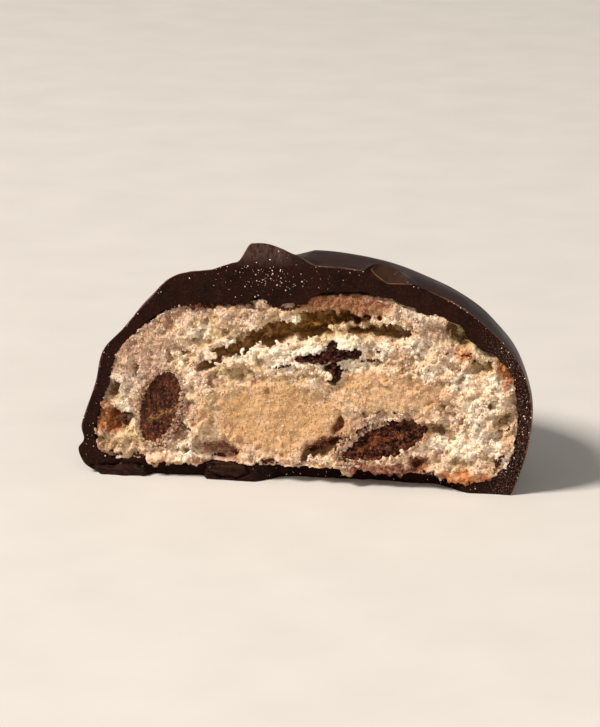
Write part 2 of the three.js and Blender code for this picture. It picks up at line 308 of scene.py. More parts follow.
def dragged(x, y):
    """How high the knife dragged the coating up."""
    height = 0 * x
    for d in DRAGGED:
        start, rising, falling, end = d["x"]
        slope = np.clip((x - start) / (rising - start), 0, 1)
        if d["steep"]:
            rise = (1 - d["steep"]) * slope + d["steep"] * ramp(slope, 0.66, 1)
        else:
            rise = ramp(slope, 0, 1)
        height += d["height"] * rise * (1 - ramp(x, falling, end)) * np.exp(-((y / d["reach"]) ** 2))
    return height


def dome(name, outlines, around, along, grow, wander):
    """A closed dome whose side outline changes round it. It stands out from the outlines by grow all over,
    and by wander(share of the way up, points) where it is uneven."""
    bm = bmesh.new()
    bmesh.ops.create_grid(bm, x_segments=around, y_segments=along + 1, size=0.5)
    mesh = stored(bm, bpy.data.meshes.new(name))
    flat = coordinates(mesh) + 0.5
    angle = flat[:, 0] * 2 * math.pi
    rung = np.rint(flat[:, 1] * (along + 1))
    share = np.clip((rung - 1) / along, 0, 1)
    cos, sin = np.cos(angle), np.sin(angle)
    weight = (cos * cos)[:, None]

    def outline(at):
        left, right = along_line(outlines["left"], at), along_line(outlines["right"], at)
        side = np.where((cos > 0)[:, None], right, left)
        return along_line(outlines["back"], at) * (1 - weight) + side * weight

    here = outline(share)
    rise = outline(np.minimum(1, share + 0.01)) - outline(np.maximum(0, share - 0.01))
    rise /= np.linalg.norm(rise, axis=1)[:, None]
    x, y, z = here[:, 0] * cos, here[:, 0] * sin, here[:, 1]
    out = grow + wander(share, spread(x, y, z))
    on_axis = (rung < 1) | (rung > along)
    radius = np.where(on_axis, 0, here[:, 0] + out * np.where(rung == 1, 1, rise[:, 1]))
    height = np.where(rung < 2, outlines["left"][0][1] - grow, z - out * rise[:, 0] - slump(x, y, z))
    place(mesh, spread(radius * cos, radius * sin, height))
    bm = opened(mesh)
    bmesh.ops.remove_doubles(bm, verts=bm.verts, dist=0.0005)
    bmesh.ops.recalc_face_normals(bm, faces=bm.faces)
    return shown(name, stored(bm, mesh))


def inside(corners, x, z):
    """How far inside a flat many-sided outline each point of the cut is, negative outside it."""
    found = np.full(np.shape(x), 1e9)
    for (ax, az), (bx, bz) in zip(corners, corners[1:] + corners[:1]):
        run = math.hypot(bx - ax, bz - az)
        found = np.minimum(found, ((bx - ax) * (z - az) - (bz - az) * (x - ax)) / run)
    return found


def scraped(x, z, margin=0.0):
    """1 on the flakes of the base coat that stand off at the left, 0 round them."""
    warp = 0.22 * bumps(spread(x, 0, z), 0.9, 3, 51)
    found = np.max([inside(corners, x + warp, z + warp) for corners in BASE_FLAKES], axis=0)
    return np.clip((found + margin) / 0.18, 0, 1)


def sag(x, z):
    """How far the coating hangs over the crumb at each point of the cut's inner outline."""
    found = 0 * x
    for start, full, until, end, amount in SAGS:
        found = found + amount * ramp(x, start, full) * (1 - ramp(x, until, end)) * ramp(z, 8, 12)
    return found


def coating_face(x, z):
    """The cut face of the coating: y at (x, z), positive into the coating."""
    flat = spread(x, 0, z)
    y = 0.2 * bumps(flat, 6, 2, 3)
    y += RIDGE_LEAN["depth"] * ramp(z, RIDGE_LEAN["from"], RIDGE_LEAN["to"])
    y += (
        FLAP_LEAN["depth"] * ramp(x, FLAP_LEAN["left"], FLAP_LEAN["right"])
        * ramp(z, FLAP_LEAN["from"] + 0.12 * np.abs(x - 10.5), FLAP_LEAN["to"])
    )
    # the thin base coat broke away in steps under the middle of the cut
    jag = 0.35 * bumps(flat, 1.7, 2, 5)
    for chip in BASE_CHIPS:
        chipped = ramp(x + jag, chip["from"], chip["from"] + chip["edge"])
        chipped *= 1 - ramp(x, chip["to"] - chip["edge"], chip["to"])
        y += (chip["depth"] + 1.1 * jag) * chipped * (1 - ramp(z, chip["top"] - 0.6, chip["top"]))
    y += 0.5 * np.clip(inside(FLAP_FACET, x, z), 0, 0.5)
    flakes = scraped(x, z)
    y += 0.3 * (scraped(x, z, 0.2) - flakes) - 0.25 * flakes
    y += 0.2 * scraped(x, z, 0.6) * bumps(spread(x * 0.5, 0, z), 0.6, 3, 16)
    # fine scrapes of the knife, along the ridge's slope and level elsewhere
    ridge = ramp(z, 24.4, 25.6) * (1 - ramp(x, -1.5, 1.0)) * ramp(x, -8.5, -6.5)
    y += 0.05 * ridge * bumps(spread(x + 0.25 * z, 0, z * 0.08), 0.42, 2, 8)
    y += 0.025 * (1 - ridge) * bumps(spread(x * 0.35, 0, z), 0.5, 2, 9)
    y += 0.035 * bumps(flat, 0.35, 2, 12)
    return y


def face_block(cell):
    """Everything behind the coating's cut face."""
    across, up, floor_gap, far = 56, 32, 2, 40
    bm = bmesh.new()
    bmesh.ops.create_grid(bm, x_segments=round(across / cell), y_segments=round(up / cell), size=0.5)
    extruded = bmesh.ops.extrude_face_region(bm, geom=bm.faces[:], use_keep_orig=True)
    for item in extruded["geom"]:
        if isinstance(item, bmesh.types.BMVert):
            item.co.z = 1
    mesh = stored(bm, bpy.data.meshes.new("block"))
    flat = coordinates(mesh)
    x = flat[:, 0] * across
    z = flat[:, 1] * up + up / 2 - floor_gap
    is_front = flat[:, 2] < 0.5
    y = np.full(len(x), float(far))
    y[is_front] = coating_face(x[is_front], z[is_front])
    place(mesh, spread(x, y, z))
    bm = opened(mesh)
    bmesh.ops.recalc_face_normals(bm, faces=bm.faces)
    return shown("block", stored(bm, mesh))


def pouring(share, points):
    """How the poured coating wanders: long soft waves, and the fins that the knife dragged up."""
    x, y, z = points.T
    wave = COATING_WAVE * bumps(points, 9, 2, 1) * ramp(share, 0, 0.15)
    burr = 0.12 * bumps(points * (1, 0.3, 1), 1.1, 2, 2) * np.exp(-((y / 1.2) ** 2)) * ramp(z, 20, 23)
    return wave + burr * 0.5 + dragged(x, y) * ramp(z, 18, 22)


def lining(share, points):
    """How the inside of the coating follows the crumb: ragged at the cut, and lifted off the top crust."""
    x, y, z = points.T
    near = np.exp(-((y / 4) ** 2))
    ragged = 0.22 * bumps(points, 1.6, 3, 4) * ramp(share, 0, 0.1) * (1 - ramp(share, 0.9, 1))
    lifted = 0.45 * ramp(x, 0.8, 2.2) * (1 - ramp(x, 6.6, 8.0)) * ramp(z, 17, 20) * near
    hanging = sag(x, z) * near * (1 + 0.5 * bumps(points * (1, 0, 1), 1.3, 3, 18))
    return ragged + lifted - hanging


# the poured dome, less what the crumb fills, and cut to the knife's face
coating = dome("coating_dark_chocolate", COATING, around=400, along=190, grow=0, wander=pouring)
hollow = dome("hollow", COOKIE, around=240, along=130, grow=0.04, wander=lining)
combine(coating, hollow, "DIFFERENCE")
combine(coating, face_block(cell=0.17), "INTERSECT")


def outline_of_cut():
    """The outer outline of the cut, from the base at the left over the top to the base at the right."""
    share = np.linspace(0, 1, 500)
    left, right = along_line(COATING["left"], share), along_line(COATING["right"], share)
    x = np.concatenate([-left[:, 0], right[::-1, 0]])
    z = np.concatenate([left[:, 1], right[::-1, 1]])
    return np.stack([x, z + dragged(x, 0 * x) * ramp(z, 18, 22)], axis=-1)


# ---------------------------------------------------------------- cookie

# Places on the break are tilted ellipses, as (x, z, half width, half height, tilt).
DENSE = (-3.2, 7.6, 10.5, 5.0, 2)  # the moist, close-grained middle
BAND = (9.6, 11.2, 7.4, 2.6, -3)  # closer-grained than what is above and below it
SANDY = (-18.6, 13.8, 3.6, 5.8, -25)  # fine and dusty beside the left wall
CREVICE = {"z": 18.75, "half": 12.2, "sag": 0.021, "sag_centre": 5, "open": 1.6, "depth": 3.6}
CHIPS = {"chocolate_chip_left": (-16.2, 8.1, 4.6, 2.4, 75), "chocolate_chip_right": (8.9, 5.4, 5.3, 1.95, 20)}
# Centre lines of the broken flakes near the middle, as (x, z).
SHARD_LINES = [
    [(-0.6, 14.6), (1.2, 14.7), (2.0, 14.5), (2.9, 15.1), (3.6, 16.3)],
    [(3.3, 15.0), (4.2, 15.5), (5.2, 15.6), (6.2, 15.3)],
    [(3.2, 13.9), (3.7, 13.3), (3.4, 12.6), (3.1, 12.1)],
]
# Hollows in the crumb as (x, z, half width, half height, tilt) and depth.
PITS = [
    ((17.2, 18.0, 1.9, 1.2, -35), 1.4), ((19.7, 14.4, 1.6, 0.9, 15), 0.9), ((22.6, 8.6, 1.0, 0.7, 30), 1.2),
    ((14.6, 7.1, 1.7, 0.7, -15), 1.0), ((-21.2, 6.4, 1.5, 1.7, 0), 1.6), ((-21.6, 9.9, 0.8, 1.3, 0), 1.3),
    ((-6.7, 11.7, 1.9, 0.5, -12), 1.1), ((2.0, 4.0, 3.6, 0.9, 28), 1.2), ((-9.6, 3.2, 2.8, 1.1, -8), 1.0),
    ((-13.3, 14.6, 1.3, 0.35, 12), 1.1), ((-10.8, 15.9, 1.1, 0.5, 25), 1.3),
    ((3.9, 6.9, 0.6, 1.5, -25), 1.5), ((7.5, 15.9, 0.35, 0.9, 10), 1.0), ((-4.1, 10.4, 0.3, 0.9, 0), 0.8),
    ((17.3, 16.1, 1.2, 0.45, -5), 1.0), ((13.6, 7.4, 0.6, 0.35, 0), 1.2), ((20.8, 14.6, 0.5, 0.5, 0), 1.3),
    ((-18.5, 12.6, 0.6, 0.4, 0), 0.9), ((-14.4, 12.3, 0.5, 0.4, 0), 0.8), ((12.9, 3.0, 0.8, 0.9, 0), 1.4),
    ((21.9, 6.4, 0.7, 0.5, 0), 0.9), ((10.5, 17.0, 0.7, 0.5, 0), 1.0), ((-11.8, 4.0, 0.9, 0.4, 30), 0.9),
    ((-2.6, 11.9, 1.3, 0.5, -15), 0.9), ((19.3, 11.1, 1.0, 0.4, 10), 1.0), ((-19.2, 3.4, 0.7, 0.6, 0), 1.0),
    ((6.6, 3.0, 1.8, 0.5, 10), 0.9), ((14.0, 10.0, 0.8, 0.35, 15), 0.8),
]

dice = random.Random(11)
shapes = np.random.default_rng(12)


def near_chip(x, z, margin=1.0):
    """How far inside a chip's outline each point of the cut is, 0 outside it."""
    found = 0 * x
    for cx, cz, across, up, tilt in CHIPS.values():
        found = np.maximum(found, ellipse(x, z, (cx, cz, across * margin, up * margin, tilt)))
    return found


def distance_to(line, x, z):
    """How far each point of the cut is from a line in it."""
    nearest = np.full(np.shape(x), 1e9)
    points = np.stack([x, z], axis=-1)
    line = np.asarray(line, float)
    for a, b in zip(line, line[1:]):
        run = b - a
        t = np.clip(((points - a) @ run) / max(run @ run, 1e-9), 0, 1)
        nearest = np.minimum(nearest, np.linalg.norm(points - a - t[..., None] * run, axis=-1))
    return nearest


def near_shard(x, z):
    """How far each point of the cut is from the shards' centre lines."""
    return np.min([distance_to(line, x, z) for line in SHARD_LINES], axis=0)


def to_rim(x, z):
    """How far each point of the cut is from the cookie's outline."""
    share = np.linspace(0, 1, 60)
    left = along_line(COOKIE["left"], share) * (-1, 1)
    right = along_line(COOKIE["right"], share[::-1])
    return distance_to(np.concatenate([left, right]), x, z)


def flaky(x, z):
    """1 where the crumb broke into coarse flakes, less where it is close-grained or sandy."""
    close = np.clip(1.6 * ellipse(x, z, DENSE), 0, 1)
    close = np.maximum(close, 0.8 * np.clip(2 * ellipse(x, z, BAND), 0, 1))
    close = np.maximum(close, 0.65 * np.clip(2 * ellipse(x, z, SANDY), 0, 1))
    return (1 - close) * (0.92 - 0.14 * ramp(x, 5, 9))


def crevice_share(x, z):
    """1 deep in the crevice below the top crust, falling steeply to 0 at its ragged lips."""
    flat = spread(x, 0, 0)
    middle = CREVICE["z"] - CREVICE["sag"] * (x - CREVICE["sag_centre"]) ** 2 + 0.4 * bumps(flat, 2.2, 2, 7)
    width = np.clip(1 - (x / CREVICE["half"]) ** 2, 0, 1) ** 0.5
    half = CREVICE["open"] * width * (1 + 0.4 * bumps(flat, 1.9, 2, 1)) + 0.05
    tear = 0.25 * bumps(spread(x, 0, z), 0.9, 2, 10)
    return ramp(1 - np.abs(z - middle + tear) / half, 0, 0.42) * width


def carved(x, z):
    """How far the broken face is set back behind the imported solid's face."""
    flat = spread(x, 0, z)
    wx, wz = x + 0.35 * bumps(flat, 1.3, 2, 13), z + 0.35 * bumps(flat, 1.3, 2, 14)
    warped = spread(wx, 0, wz)
    big, big_gap, _share = chunks(warped, 2.4, 41)
    small, small_gap, _share = chunks(warped, 1.0, 42)
    coarse = flaky(x, z)
    back = 0.2 + 0.42 * coarse - (0.05 + 0.38 * coarse) * big - (0.05 + 0.2 * coarse) * small
    back += coarse * 0.45 * (1 - ramp(big_gap, 0, 0.16)) * ramp(bumps(flat, 3, 2, 43), -0.1, 0.2)
    back += coarse * 0.2 * (1 - ramp(small_gap, 0, 0.14))
    back = np.maximum(back + 0.15 * bumps(flat, 1.7, 3, 15), 0.02)
    for spot, depth in PITS:
        back = np.maximum(back, depth * ramp(ellipse(wx, wz, spot), 0, 0.5))
    return back


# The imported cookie's solid, with its broken face divided finely and carved.
bm = opened(cad_copy("cookie"))
open_faces = {f for f in bm.faces if f.calc_center_median().y < 5.5 and f.normal.y < 0.1}
open_edges = [e for e in bm.edges if not open_faces.isdisjoint(e.link_faces)]
bmesh.ops.subdivide_edges(bm, edges=open_edges, cuts=2, use_grid_fill=True)
bmesh.ops.triangulate(bm, faces=bm.faces)
crumb_mesh = stored(bm, bpy.data.meshes.new("crumb"))
spots = coordinates(crumb_mesh)
facing = normals(crumb_mesh)
on_break = ramp(-facing[:, 1], 0.1, 0.45) * (1 - ramp(spots[:, 1], 5.0, 6.0))
x, y, z = spots.T
sunk = carved(x, z)
# beside the shards the crumb stays forward and holds them, and it is tucked in where the coating sags
hold = 1 - ramp(near_shard(x, z), 0.15, 0.55) * (1 - near_chip(x, z, 1.2) ** 0.3)
sunk = sunk * (1 - 0.7 * hold)
sunk += 0.9 * ramp(np.maximum(sag(x, z), 0) * 1.3 - to_rim(x, z), -0.2, 0.15) * (sag(x, z) > 0)
# the crevice runs in behind the break, with lumps on its back wall
deep = crevice_share(x, z)
lump = chunks(spread(x, 0, z), 1.3, 49)[0]
cave_y = (0.7 + (CREVICE["depth"] - 0.9 * lump) * deep) * on_break * (deep > 0)
new_y = np.maximum(y + sunk * on_break, cave_y)
# the top crust stands forward over the crevice
crust_front = 0.5 + 0.2 * bumps(spread(x, 0, z), 1.8, 2, 19)
above = ellipse(x, z, (3.5, 20.6, 9.5, 1.9, 0), 4) * (deep < 0.02) * on_break
new_y = np.where(above > 0, np.minimum(new_y, crust_front * above + new_y * (1 - above)), new_y)
place(crumb_mesh, spread(x, np.where(on_break > 0, new_y, y), z))
carved_tree = face_tree(crumb_mesh)


def grains(name, centres, sizes, uneven=0.3, flat=0.5):
    """Angular grains in one mesh: small balls knocked out of shape, each in its own way."""
    bm = bmesh.new()
    bmesh.ops.create_icosphere(bm, subdivisions=1, radius=1)
    mesh = stored(bm, bpy.data.meshes.new(name))
    ball = coordinates(mesh)
    piece = shown(name, mesh)
    count = len(centres)
    change = piece.modifiers.new("many", "ARRAY")
    change.count = count
    change.use_relative_offset = False
    apply_all(piece)
    quarter = shapes.normal(size=(4, count)) + 1e-6
    a, b, c, d = quarter / np.linalg.norm(quarter, axis=0)
    turn = np.array([
        [1 - 2 * (c * c + d * d), 2 * (b * c - a * d), 2 * (b * d + a * c)],
        [2 * (b * c + a * d), 1 - 2 * (b * b + d * d), 2 * (c * d - a * b)],
        [2 * (b * d - a * c), 2 * (c * d + a * b), 1 - 2 * (b * b + c * c)],
    ]).transpose(2, 0, 1)
    stretch = shapes.uniform(flat, 1.25, (count, 1, 3))
    knock = 1 + shapes.uniform(-uneven, uneven * 0.75, (count, len(ball), 1))
    points = ball[None] * knock * stretch * np.asarray(sizes, float)[:, None, None]
    points = np.einsum("nij,nkj->nki", turn, points) + np.asarray(centres, float)[:, None]
    place(piece.data, points.reshape(-1, 3))
    return piece


def join(piece, other):
    """Adds the other object's mesh to the piece. The other is used up."""
    bm = opened(piece.data)
    bm.from_mesh(other.data)
    bpy.data.objects.remove(other)
    stored(bm, piece.data)


IN_FRONT = -6  # y in front of all that shows
HIDDEN = 6.5  # y behind all that shows


def met(tree, x, z):
    """The first point that is met from the front at (x, z), and the outward direction there, if one shows."""
    hit, normal, _index, _distance = tree.ray_cast(Vector((x, IN_FRONT, z)), Vector((0, 1, 0)))
    return (None, None) if hit is None or hit.y > HIDDEN else (hit, normal)


places = []
sizes = []


def cluster(x, z, size, lumps):
    """A clump of flaky crumbs that stands proud of the face at (x, z)."""
    hit, normal = met(carved_tree, x, z)
    if hit is None:
        return
    for _ in range(lumps):
        away = Vector((dice.gauss(0, 0.4), dice.uniform(-0.22, 0.22), dice.gauss(0, 0.4))) * size
        places.append(hit + normal * size * 0.12 + away)
        sizes.append(max(0.21, size * dice.uniform(0.22, 0.55)))


# Clumps all over the loose crumb, none on a chip, on a shard, in the crevice, past the rim or on another.
TRIES = 5200
tries = np.array([[dice.uniform(-24.4, 24.6), dice.uniform(1.4, 22.6)] for _ in range(TRIES)])
tried_x, tried_z = tries.T
tried = zip(
    tries, near_chip(tried_x, tried_z, 1.2), near_shard(tried_x, tried_z), flaky(tried_x, tried_z),
    crevice_share(tried_x, tried_z), to_rim(tried_x, tried_z) - 1.6 * np.maximum(0, sag(tried_x, tried_z)),
)
clumps = []
for at, chip, shard, loosened, hole, rim in tried:
    size = 0.4 + 0.85 * dice.random() ** 2.2
    if chip > 0 or shard < 0.55 or hole > 0.15 or rim < 0.1 + 0.7 * size or dice.random() > loosened * 0.55:
        continue
    if all((at[0] - c[0]) ** 2 + (at[1] - c[1]) ** 2 > (0.62 * (size + c[2])) ** 2 for c in clumps):
        clumps.append((at[0], at[1], size))
for x, z, size in clumps:
    cluster(x, z, size, dice.randint(5, 10))

# Larger clumps that the photograph shows, most of them below the crevice, as (x, z, size).
LARGE_CLUMPS = [
    (-0.7, 18.5, 0.85), (-1.0, 19.4, 0.7), (-7.3, 16.6, 0.7), (-7.2, 17.2, 0.4), (-22.2, 3.5, 1.3),
    (-7.9, 15.6, 1.25), (-6.2, 14.6, 1.1), (-9.3, 14.2, 0.9), (-4.6, 15.0, 1.05), (-3.0, 14.2, 0.9),
    (-1.4, 15.4, 0.8), (-12.0, 14.4, 0.8), (-5.3, 13.2, 0.6), (0.0, 13.3, 0.7), (9.4, 19.7, 1.0),
    (10.2, 20.3, 0.8), (12.6, 17.6, 0.8), (14.4, 18.4, 0.7), (11.8, 15.6, 0.7), (21.0, 11.4, 0.8),
    (19.0, 8.3, 0.9), (17.6, 10.3, 0.8), (-20.9, 3.1, 1.0), (-22.2, 3.4, 0.9), (-20.5, 10.9, 0.8),
    (-18.4, 13.6, 0.7), (18.8, 4.4, 0.9), (16.4, 4.0, 0.8), (-13.0, 4.1, 0.8), (-11.4, 5.6, 0.7),
    (-12.3, 9.6, 0.7), (-5.0, 21.4, 0.5), (-4.9, 20.6, 0.8), (13.8, 12.7, 0.7),
]
for x, z, size in LARGE_CLUMPS:
    cluster(x, z, size, 12)

# Golden lumps low in the crevice.
GOLDEN = [
    (3.4, 18.0), (4.2, 18.3), (5.2, 18.2), (6.0, 18.6), (6.8, 18.4), (7.5, 18.7), (-5.0, 17.9),
    (-3.8, 18.4),
]
for x, z in GOLDEN:
    for _ in range(7):
        places.append(Vector((x + dice.gauss(0, 0.35), dice.uniform(1.2, 2.4), z + dice.gauss(0, 0.2))))
        sizes.append(dice.uniform(0.3, 0.55))

# Crumbs that lap over the edges of the long shard.
LAPPING = [
    (-0.6, 15.3), (0.1, 15.35), (0.8, 15.4), (1.5, 15.4), (-0.5, 14.05), (0.3, 14.1), (1.0, 14.1),
    (1.8, 13.95),
]
for x, z in LAPPING:
    for _ in range(5):
        places.append(Vector((x + dice.gauss(0, 0.22), dice.uniform(-0.25, 0.4), z + dice.gauss(0, 0.07))))
        sizes.append(dice.uniform(0.2, 0.34))

# The ragged lower edge of the crumb over the broken base coat: left, right, how low it hangs, foremost y.
HANGING = [
    (-17.7, -16.4, 1.0, -0.3), (-16.3, -14.6, 1.4, -0.3), (-14.6, -11.6, 1.5, -0.2),
    (-6.9, -4.8, 1.95, -0.2), (-3.0, -0.9, 2.1, 0), (2.9, 4.3, 2.1, 0), (4.7, 7.1, 1.9, 0),
    (7.1, 8.2, 1.6, 0), (8.1, 10.9, 1.25, 0), (10.8, 12.1, 1.6, 0), (14.2, 15.6, 1.7, -0.1),
    (15.3, 17.0, 1.15, -0.2), (16.9, 19.6, 0.8, -0.2), (19.4, 21.4, 1.2, -0.2),
]
for left, right, low, foremost in HANGING:
    for x in np.arange(left, right, 0.3):
        bottom = low + 0.6 * dice.random() ** 1.5
        for z in np.arange(bottom, 2.7, 0.26):
            for _ in range(3):
                wide = dice.uniform(0.2, 0.42)
                places.append(Vector((x + dice.gauss(0, 0.12), dice.uniform(foremost, 1.4), z + wide * 0.6)))
                sizes.append(wide)

# the carved solid and all its clumps under one skin
cookie = shown("broken_cookie_crumb", crumb_mesh)
join(cookie, grains("crumbs", places, sizes, uneven=0.42, flat=0.36))
remesh(cookie, cell=0.17)
keep_largest(cookie.data)


def thin_out(piece, hidden, target):
    """Merges small faces where hidden is above 0, until about target triangles are left."""
    group = piece.vertex_groups.new(name="hidden")
    group.add([int(i) for i in np.nonzero(hidden)[0]], 1.0, "REPLACE")
    triangles = sum(len(p.vertices) - 2 for p in piece.data.polygons)
    change = piece.modifiers.new("thin", "DECIMATE")
    change.ratio = min(1, target / triangles)
    change.vertex_group = "hidden"
    apply_all(piece)
    piece.vertex_groups.clear()


def front_depth(points):
    """How far each point lies behind the crumb's local front."""
    cell, columns, rows = 0.25, 220, 120
    empty = 9.0
    column = np.clip(((points[:, 0] + 27) / cell).astype(int), 0, columns - 1)
    row = np.clip(((points[:, 2] + 1) / cell).astype(int), 0, rows - 1)
    grid = np.full((columns, rows), empty)
    use = points[:, 1] < 6
    np.minimum.at(grid, (column[use], row[use]), points[use, 1])
    known = grid < empty
    level = np.where(known, grid, 0)
    share = known.astype(float)
    for _ in range(10):
        for array in (level, share):
            beside = array[:-2, 1:-1] + array[2:, 1:-1] + array[1:-1, :-2] + array[1:-1, 2:]
            array[1:-1, 1:-1] = (array[1:-1, 1:-1] * 2 + beside) / 6
    level = np.where(share > 0.01, level / np.maximum(share, 0.01), 1)
    return points[:, 1] - level[column, row]


# Only the skin that can't be seen is thinned: deep behind the break, or turned away outside the crevice.
CRUMB_TRIANGLES = 190000
spots = coordinates(cookie.data)
facing = normals(cookie.data)
in_crevice = crevice_share(spots[:, 0], spots[:, 2]) >= 0.05
unseen = (spots[:, 1] > 6.2) | ((spots[:, 1] > 3.4) & (facing[:, 1] > -0.25) & ~in_crevice)
thin_out(cookie, unseen, CRUMB_TRIANGLES)


def hold_to(mesh, name, slack):
    """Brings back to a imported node's surface the points that stand out of it by more than slack."""
    solid = cad_copy(name)
    tree = face_tree(solid)
    points = coordinates(mesh)
    for index in np.nonzero(points[:, 1] > 3.0)[0]:
        point = Vector(points[index])
        near, normal, _index, _distance = tree.find_nearest(point)
        if (point - near).dot(normal) > slack:
            points[index] = near + normal * slack * 0.5
    place(mesh, points)
    bpy.data.meshes.remove(solid)


hold_to(cookie.data, "cookie", slack=0.15)

# Fine broken relief over the front: flaky chunks, a grain between them and cracks.
broken = cookie.data
spots = coordinates(broken)
out = normals(broken)
x, y, z = spots.T
front = 1 - ramp(y, 5.5, 7.0)
dense = np.maximum(ellipse(x, z, DENSE, 1.5), 0.75 * ellipse(x, z, BAND, 2.5)) * (1 - ramp(y, 2.5, 4))
flake, flake_gap, flake_share = chunks(spots, 0.6, 44)
shiver = bumps(spots, 0.5, 3, 4)
crack = ramp(bumps(spots, 0.9, 2, 17), 0.28, 0.6)
push = 0.16 * flake + 0.08 * shiver - 0.1 * (1 - ramp(flake_gap, 0, 0.15)) - 0.2 * crack
push *= (1 - 0.6 * dense) * front
place(broken, spots + out * push[:, None])
patch_share = chunks(spots, 1.4, 45)[2]

# Where the crumb is browned and dusty, and where shade, light and a pinkish reflection are painted on it:
# tilted ellipses with ragged edges, and their strength.
spots = coordinates(broken)
x, y, z = spots.T
depth = front_depth(spots)
wx, wz = x + 0.6 * bumps(spots, 1.5, 2, 6), z + 0.6 * bumps(spots, 1.5, 2, 7)
# The spot at x -9.6, z 20.5, along the coating at the top left, is painted shade, not browning.
BROWNED = [
    ((22.7, 14.2, 1.5, 2.1, 10), 1.0), ((18.6, 1.6, 4.4, 1.2, -3), 1.0), ((9.2, 1.9, 6.0, 1.1, 0), 1.0),
    ((12.9, 3.0, 1.6, 1.4, 0), 0.95), ((-22.4, 6.4, 1.9, 2.2, 0), 1.0), ((-22.2, 3.4, 1.7, 1.5, 0), 0.35),
    ((3.9, 6.8, 0.9, 1.4, -20), 0.8), ((2.4, 4.7, 2.9, 1.1, 18), 1.0), ((-16.2, 1.5, 2.4, 0.8, 0), 0.7),
    ((-9.6, 3.3, 3.2, 1.1, -5), 0.9), ((-1.8, 2.2, 1.6, 0.6, 0), 0.6), ((-9.6, 20.5, 4.2, 0.8, 6), 0.8),
    ((17.6, 15.8, 1.8, 0.8, -10), 0.85), ((-14.0, 6.6, 3.6, 0.9, 75), 0.8),
    ((-18.5, 7.4, 2.8, 0.5, 80), 0.6), ((-16.9, 3.6, 2.0, 0.6, 0), 0.75), ((-12.2, 2.1, 1.4, 0.6, 0), 0.85),
    ((0.5, 21.4, 3.5, 0.7, 0), 0.6), ((22.6, 5.8, 0.6, 1.2, 0), 0.5),
]
browned = strongest(wx, wz, BROWNED, 1.5)
round_chips = ramp(near_chip(wx, wz, 1.2), 0.0, 0.12) * ramp(bumps(spots, 1.5, 2, 28), -0.25, 0.25)
browned = np.maximum(browned, 0.7 * round_chips)
# The top crust under the coating: browner crust, darkened further with painted shade where the coating
# overhangs it.
crust = ellipse(wx, wz, (4.4, 20.8, 6.5, 1.5, 0), 2)
rim = to_rim(x, z)
# Crumb and chocolate dust near the coating and in patches; on the left, stronger higher up, the pinkish-grey
# is also a painted reflection.
dust_and_reflection = (1 - ramp(rim, 0.2, 2.4)) * ramp(-x, 8, 15) * (0.35 + 0.85 * ramp(z, 11, 15))
dust_and_reflection += 0.5 * (1 - ramp(rim, 0.2, 1.2))
DUST_AND_REFLECTION = [
    ((13.5, 19.0, 4.2, 1.3, -22), 0.6), (SANDY, 0.7), ((-6.0, 20.0, 4.5, 1.5, 5), 0.45),
    ((6.6, 7.2, 3.4, 1.3, 25), 1.2),
]
dust_and_reflection = np.maximum(dust_and_reflection, strongest(wx, wz, DUST_AND_REFLECTION, 2))
# Painted shade in the pits and hollows: a dull olive-tan laid over the crumb where it lies back.
PIT_SHADE = [
    ((3.5, 17.3, 7.5, 0.9, 0), 0.5), ((-9.8, 16.7, 3.2, 0.6, 20), 0.5), ((-8.6, 12.3, 3.2, 0.9, -8), 0.7),
    ((20.0, 14.4, 2.0, 1.2, 15), 0.5), ((17.4, 18.0, 2.3, 1.4, -35), 0.8), ((-21.4, 9.6, 1.2, 1.7, 0), 0.6),
    ((14.8, 7.0, 2.0, 0.9, -20), 0.6), ((-22.2, 3.5, 1.7, 1.4, 0), 0.75), ((7.3, 16.0, 0.5, 1.0, 0), 0.8),
    ((22.4, 8.6, 1.2, 1.0, 0), 0.7), ((-1.5, 11.9, 2.4, 0.7, 15), 0.5), ((-20.0, 4.6, 1.8, 1.1, 20), 0.6),
    ((17.5, 3.7, 1.6, 1.2, 0), 0.5),
]
pit_shade = strongest(wx, wz, PIT_SHADE, 1.6)
# Where the lumps catch the most light: paler crumb with painted light on it.
PALE_AND_LIT = [
    (-7.0, 15.1, 2.2, 2.0, 0), (-2.0, 14.4, 3.2, 1.9, 0), (-11.8, 17.0, 1.6, 1.1, 10),
    (-19.0, 11.7, 1.4, 0.9, 0), (-20.4, 8.2, 1.1, 1.1, 0), (-13.2, 3.2, 1.9, 1.3, 0),
    (0.9, 15.8, 2.0, 1.1, 0), (5.5, 16.1, 2.6, 1.4, 0), (-5.2, 16.4, 2.6, 1.2, 10),
    (9.0, 16.0, 1.3, 1.3, 0), (12.7, 16.4, 1.5, 1.3, 0), (13.1, 19.8, 2.2, 1.1, -10),
    (17.8, 12.7, 2.0, 1.5, -20), (21.5, 12.7, 1.5, 1.4, 0), (19.5, 7.2, 1.5, 2.1, 0),
    (22.3, 4.1, 1.0, 1.0, 0), (15.3, 5.4, 1.6, 1.1, 0), (14.1, 13.7, 1.3, 1.0, 0),
    (10.8, 18.4, 1.2, 1.0, 0), (20.0, 9.9, 2.4, 1.6, 0), (18.0, 5.2, 2.2, 1.8, 0),
    (-0.6, 18.6, 0.9, 0.9, 0), (1.0, 11.9, 1.8, 0.7, 15), (-20.6, 10.6, 1.6, 1.6, 0),
    (6.6, 14.0, 2.6, 0.8, 0), (21.6, 5.6, 1.6, 1.6, 0),
]
pale = strongest(wx, wz, [(spot, 1) for spot in PALE_AND_LIT], 1.6)
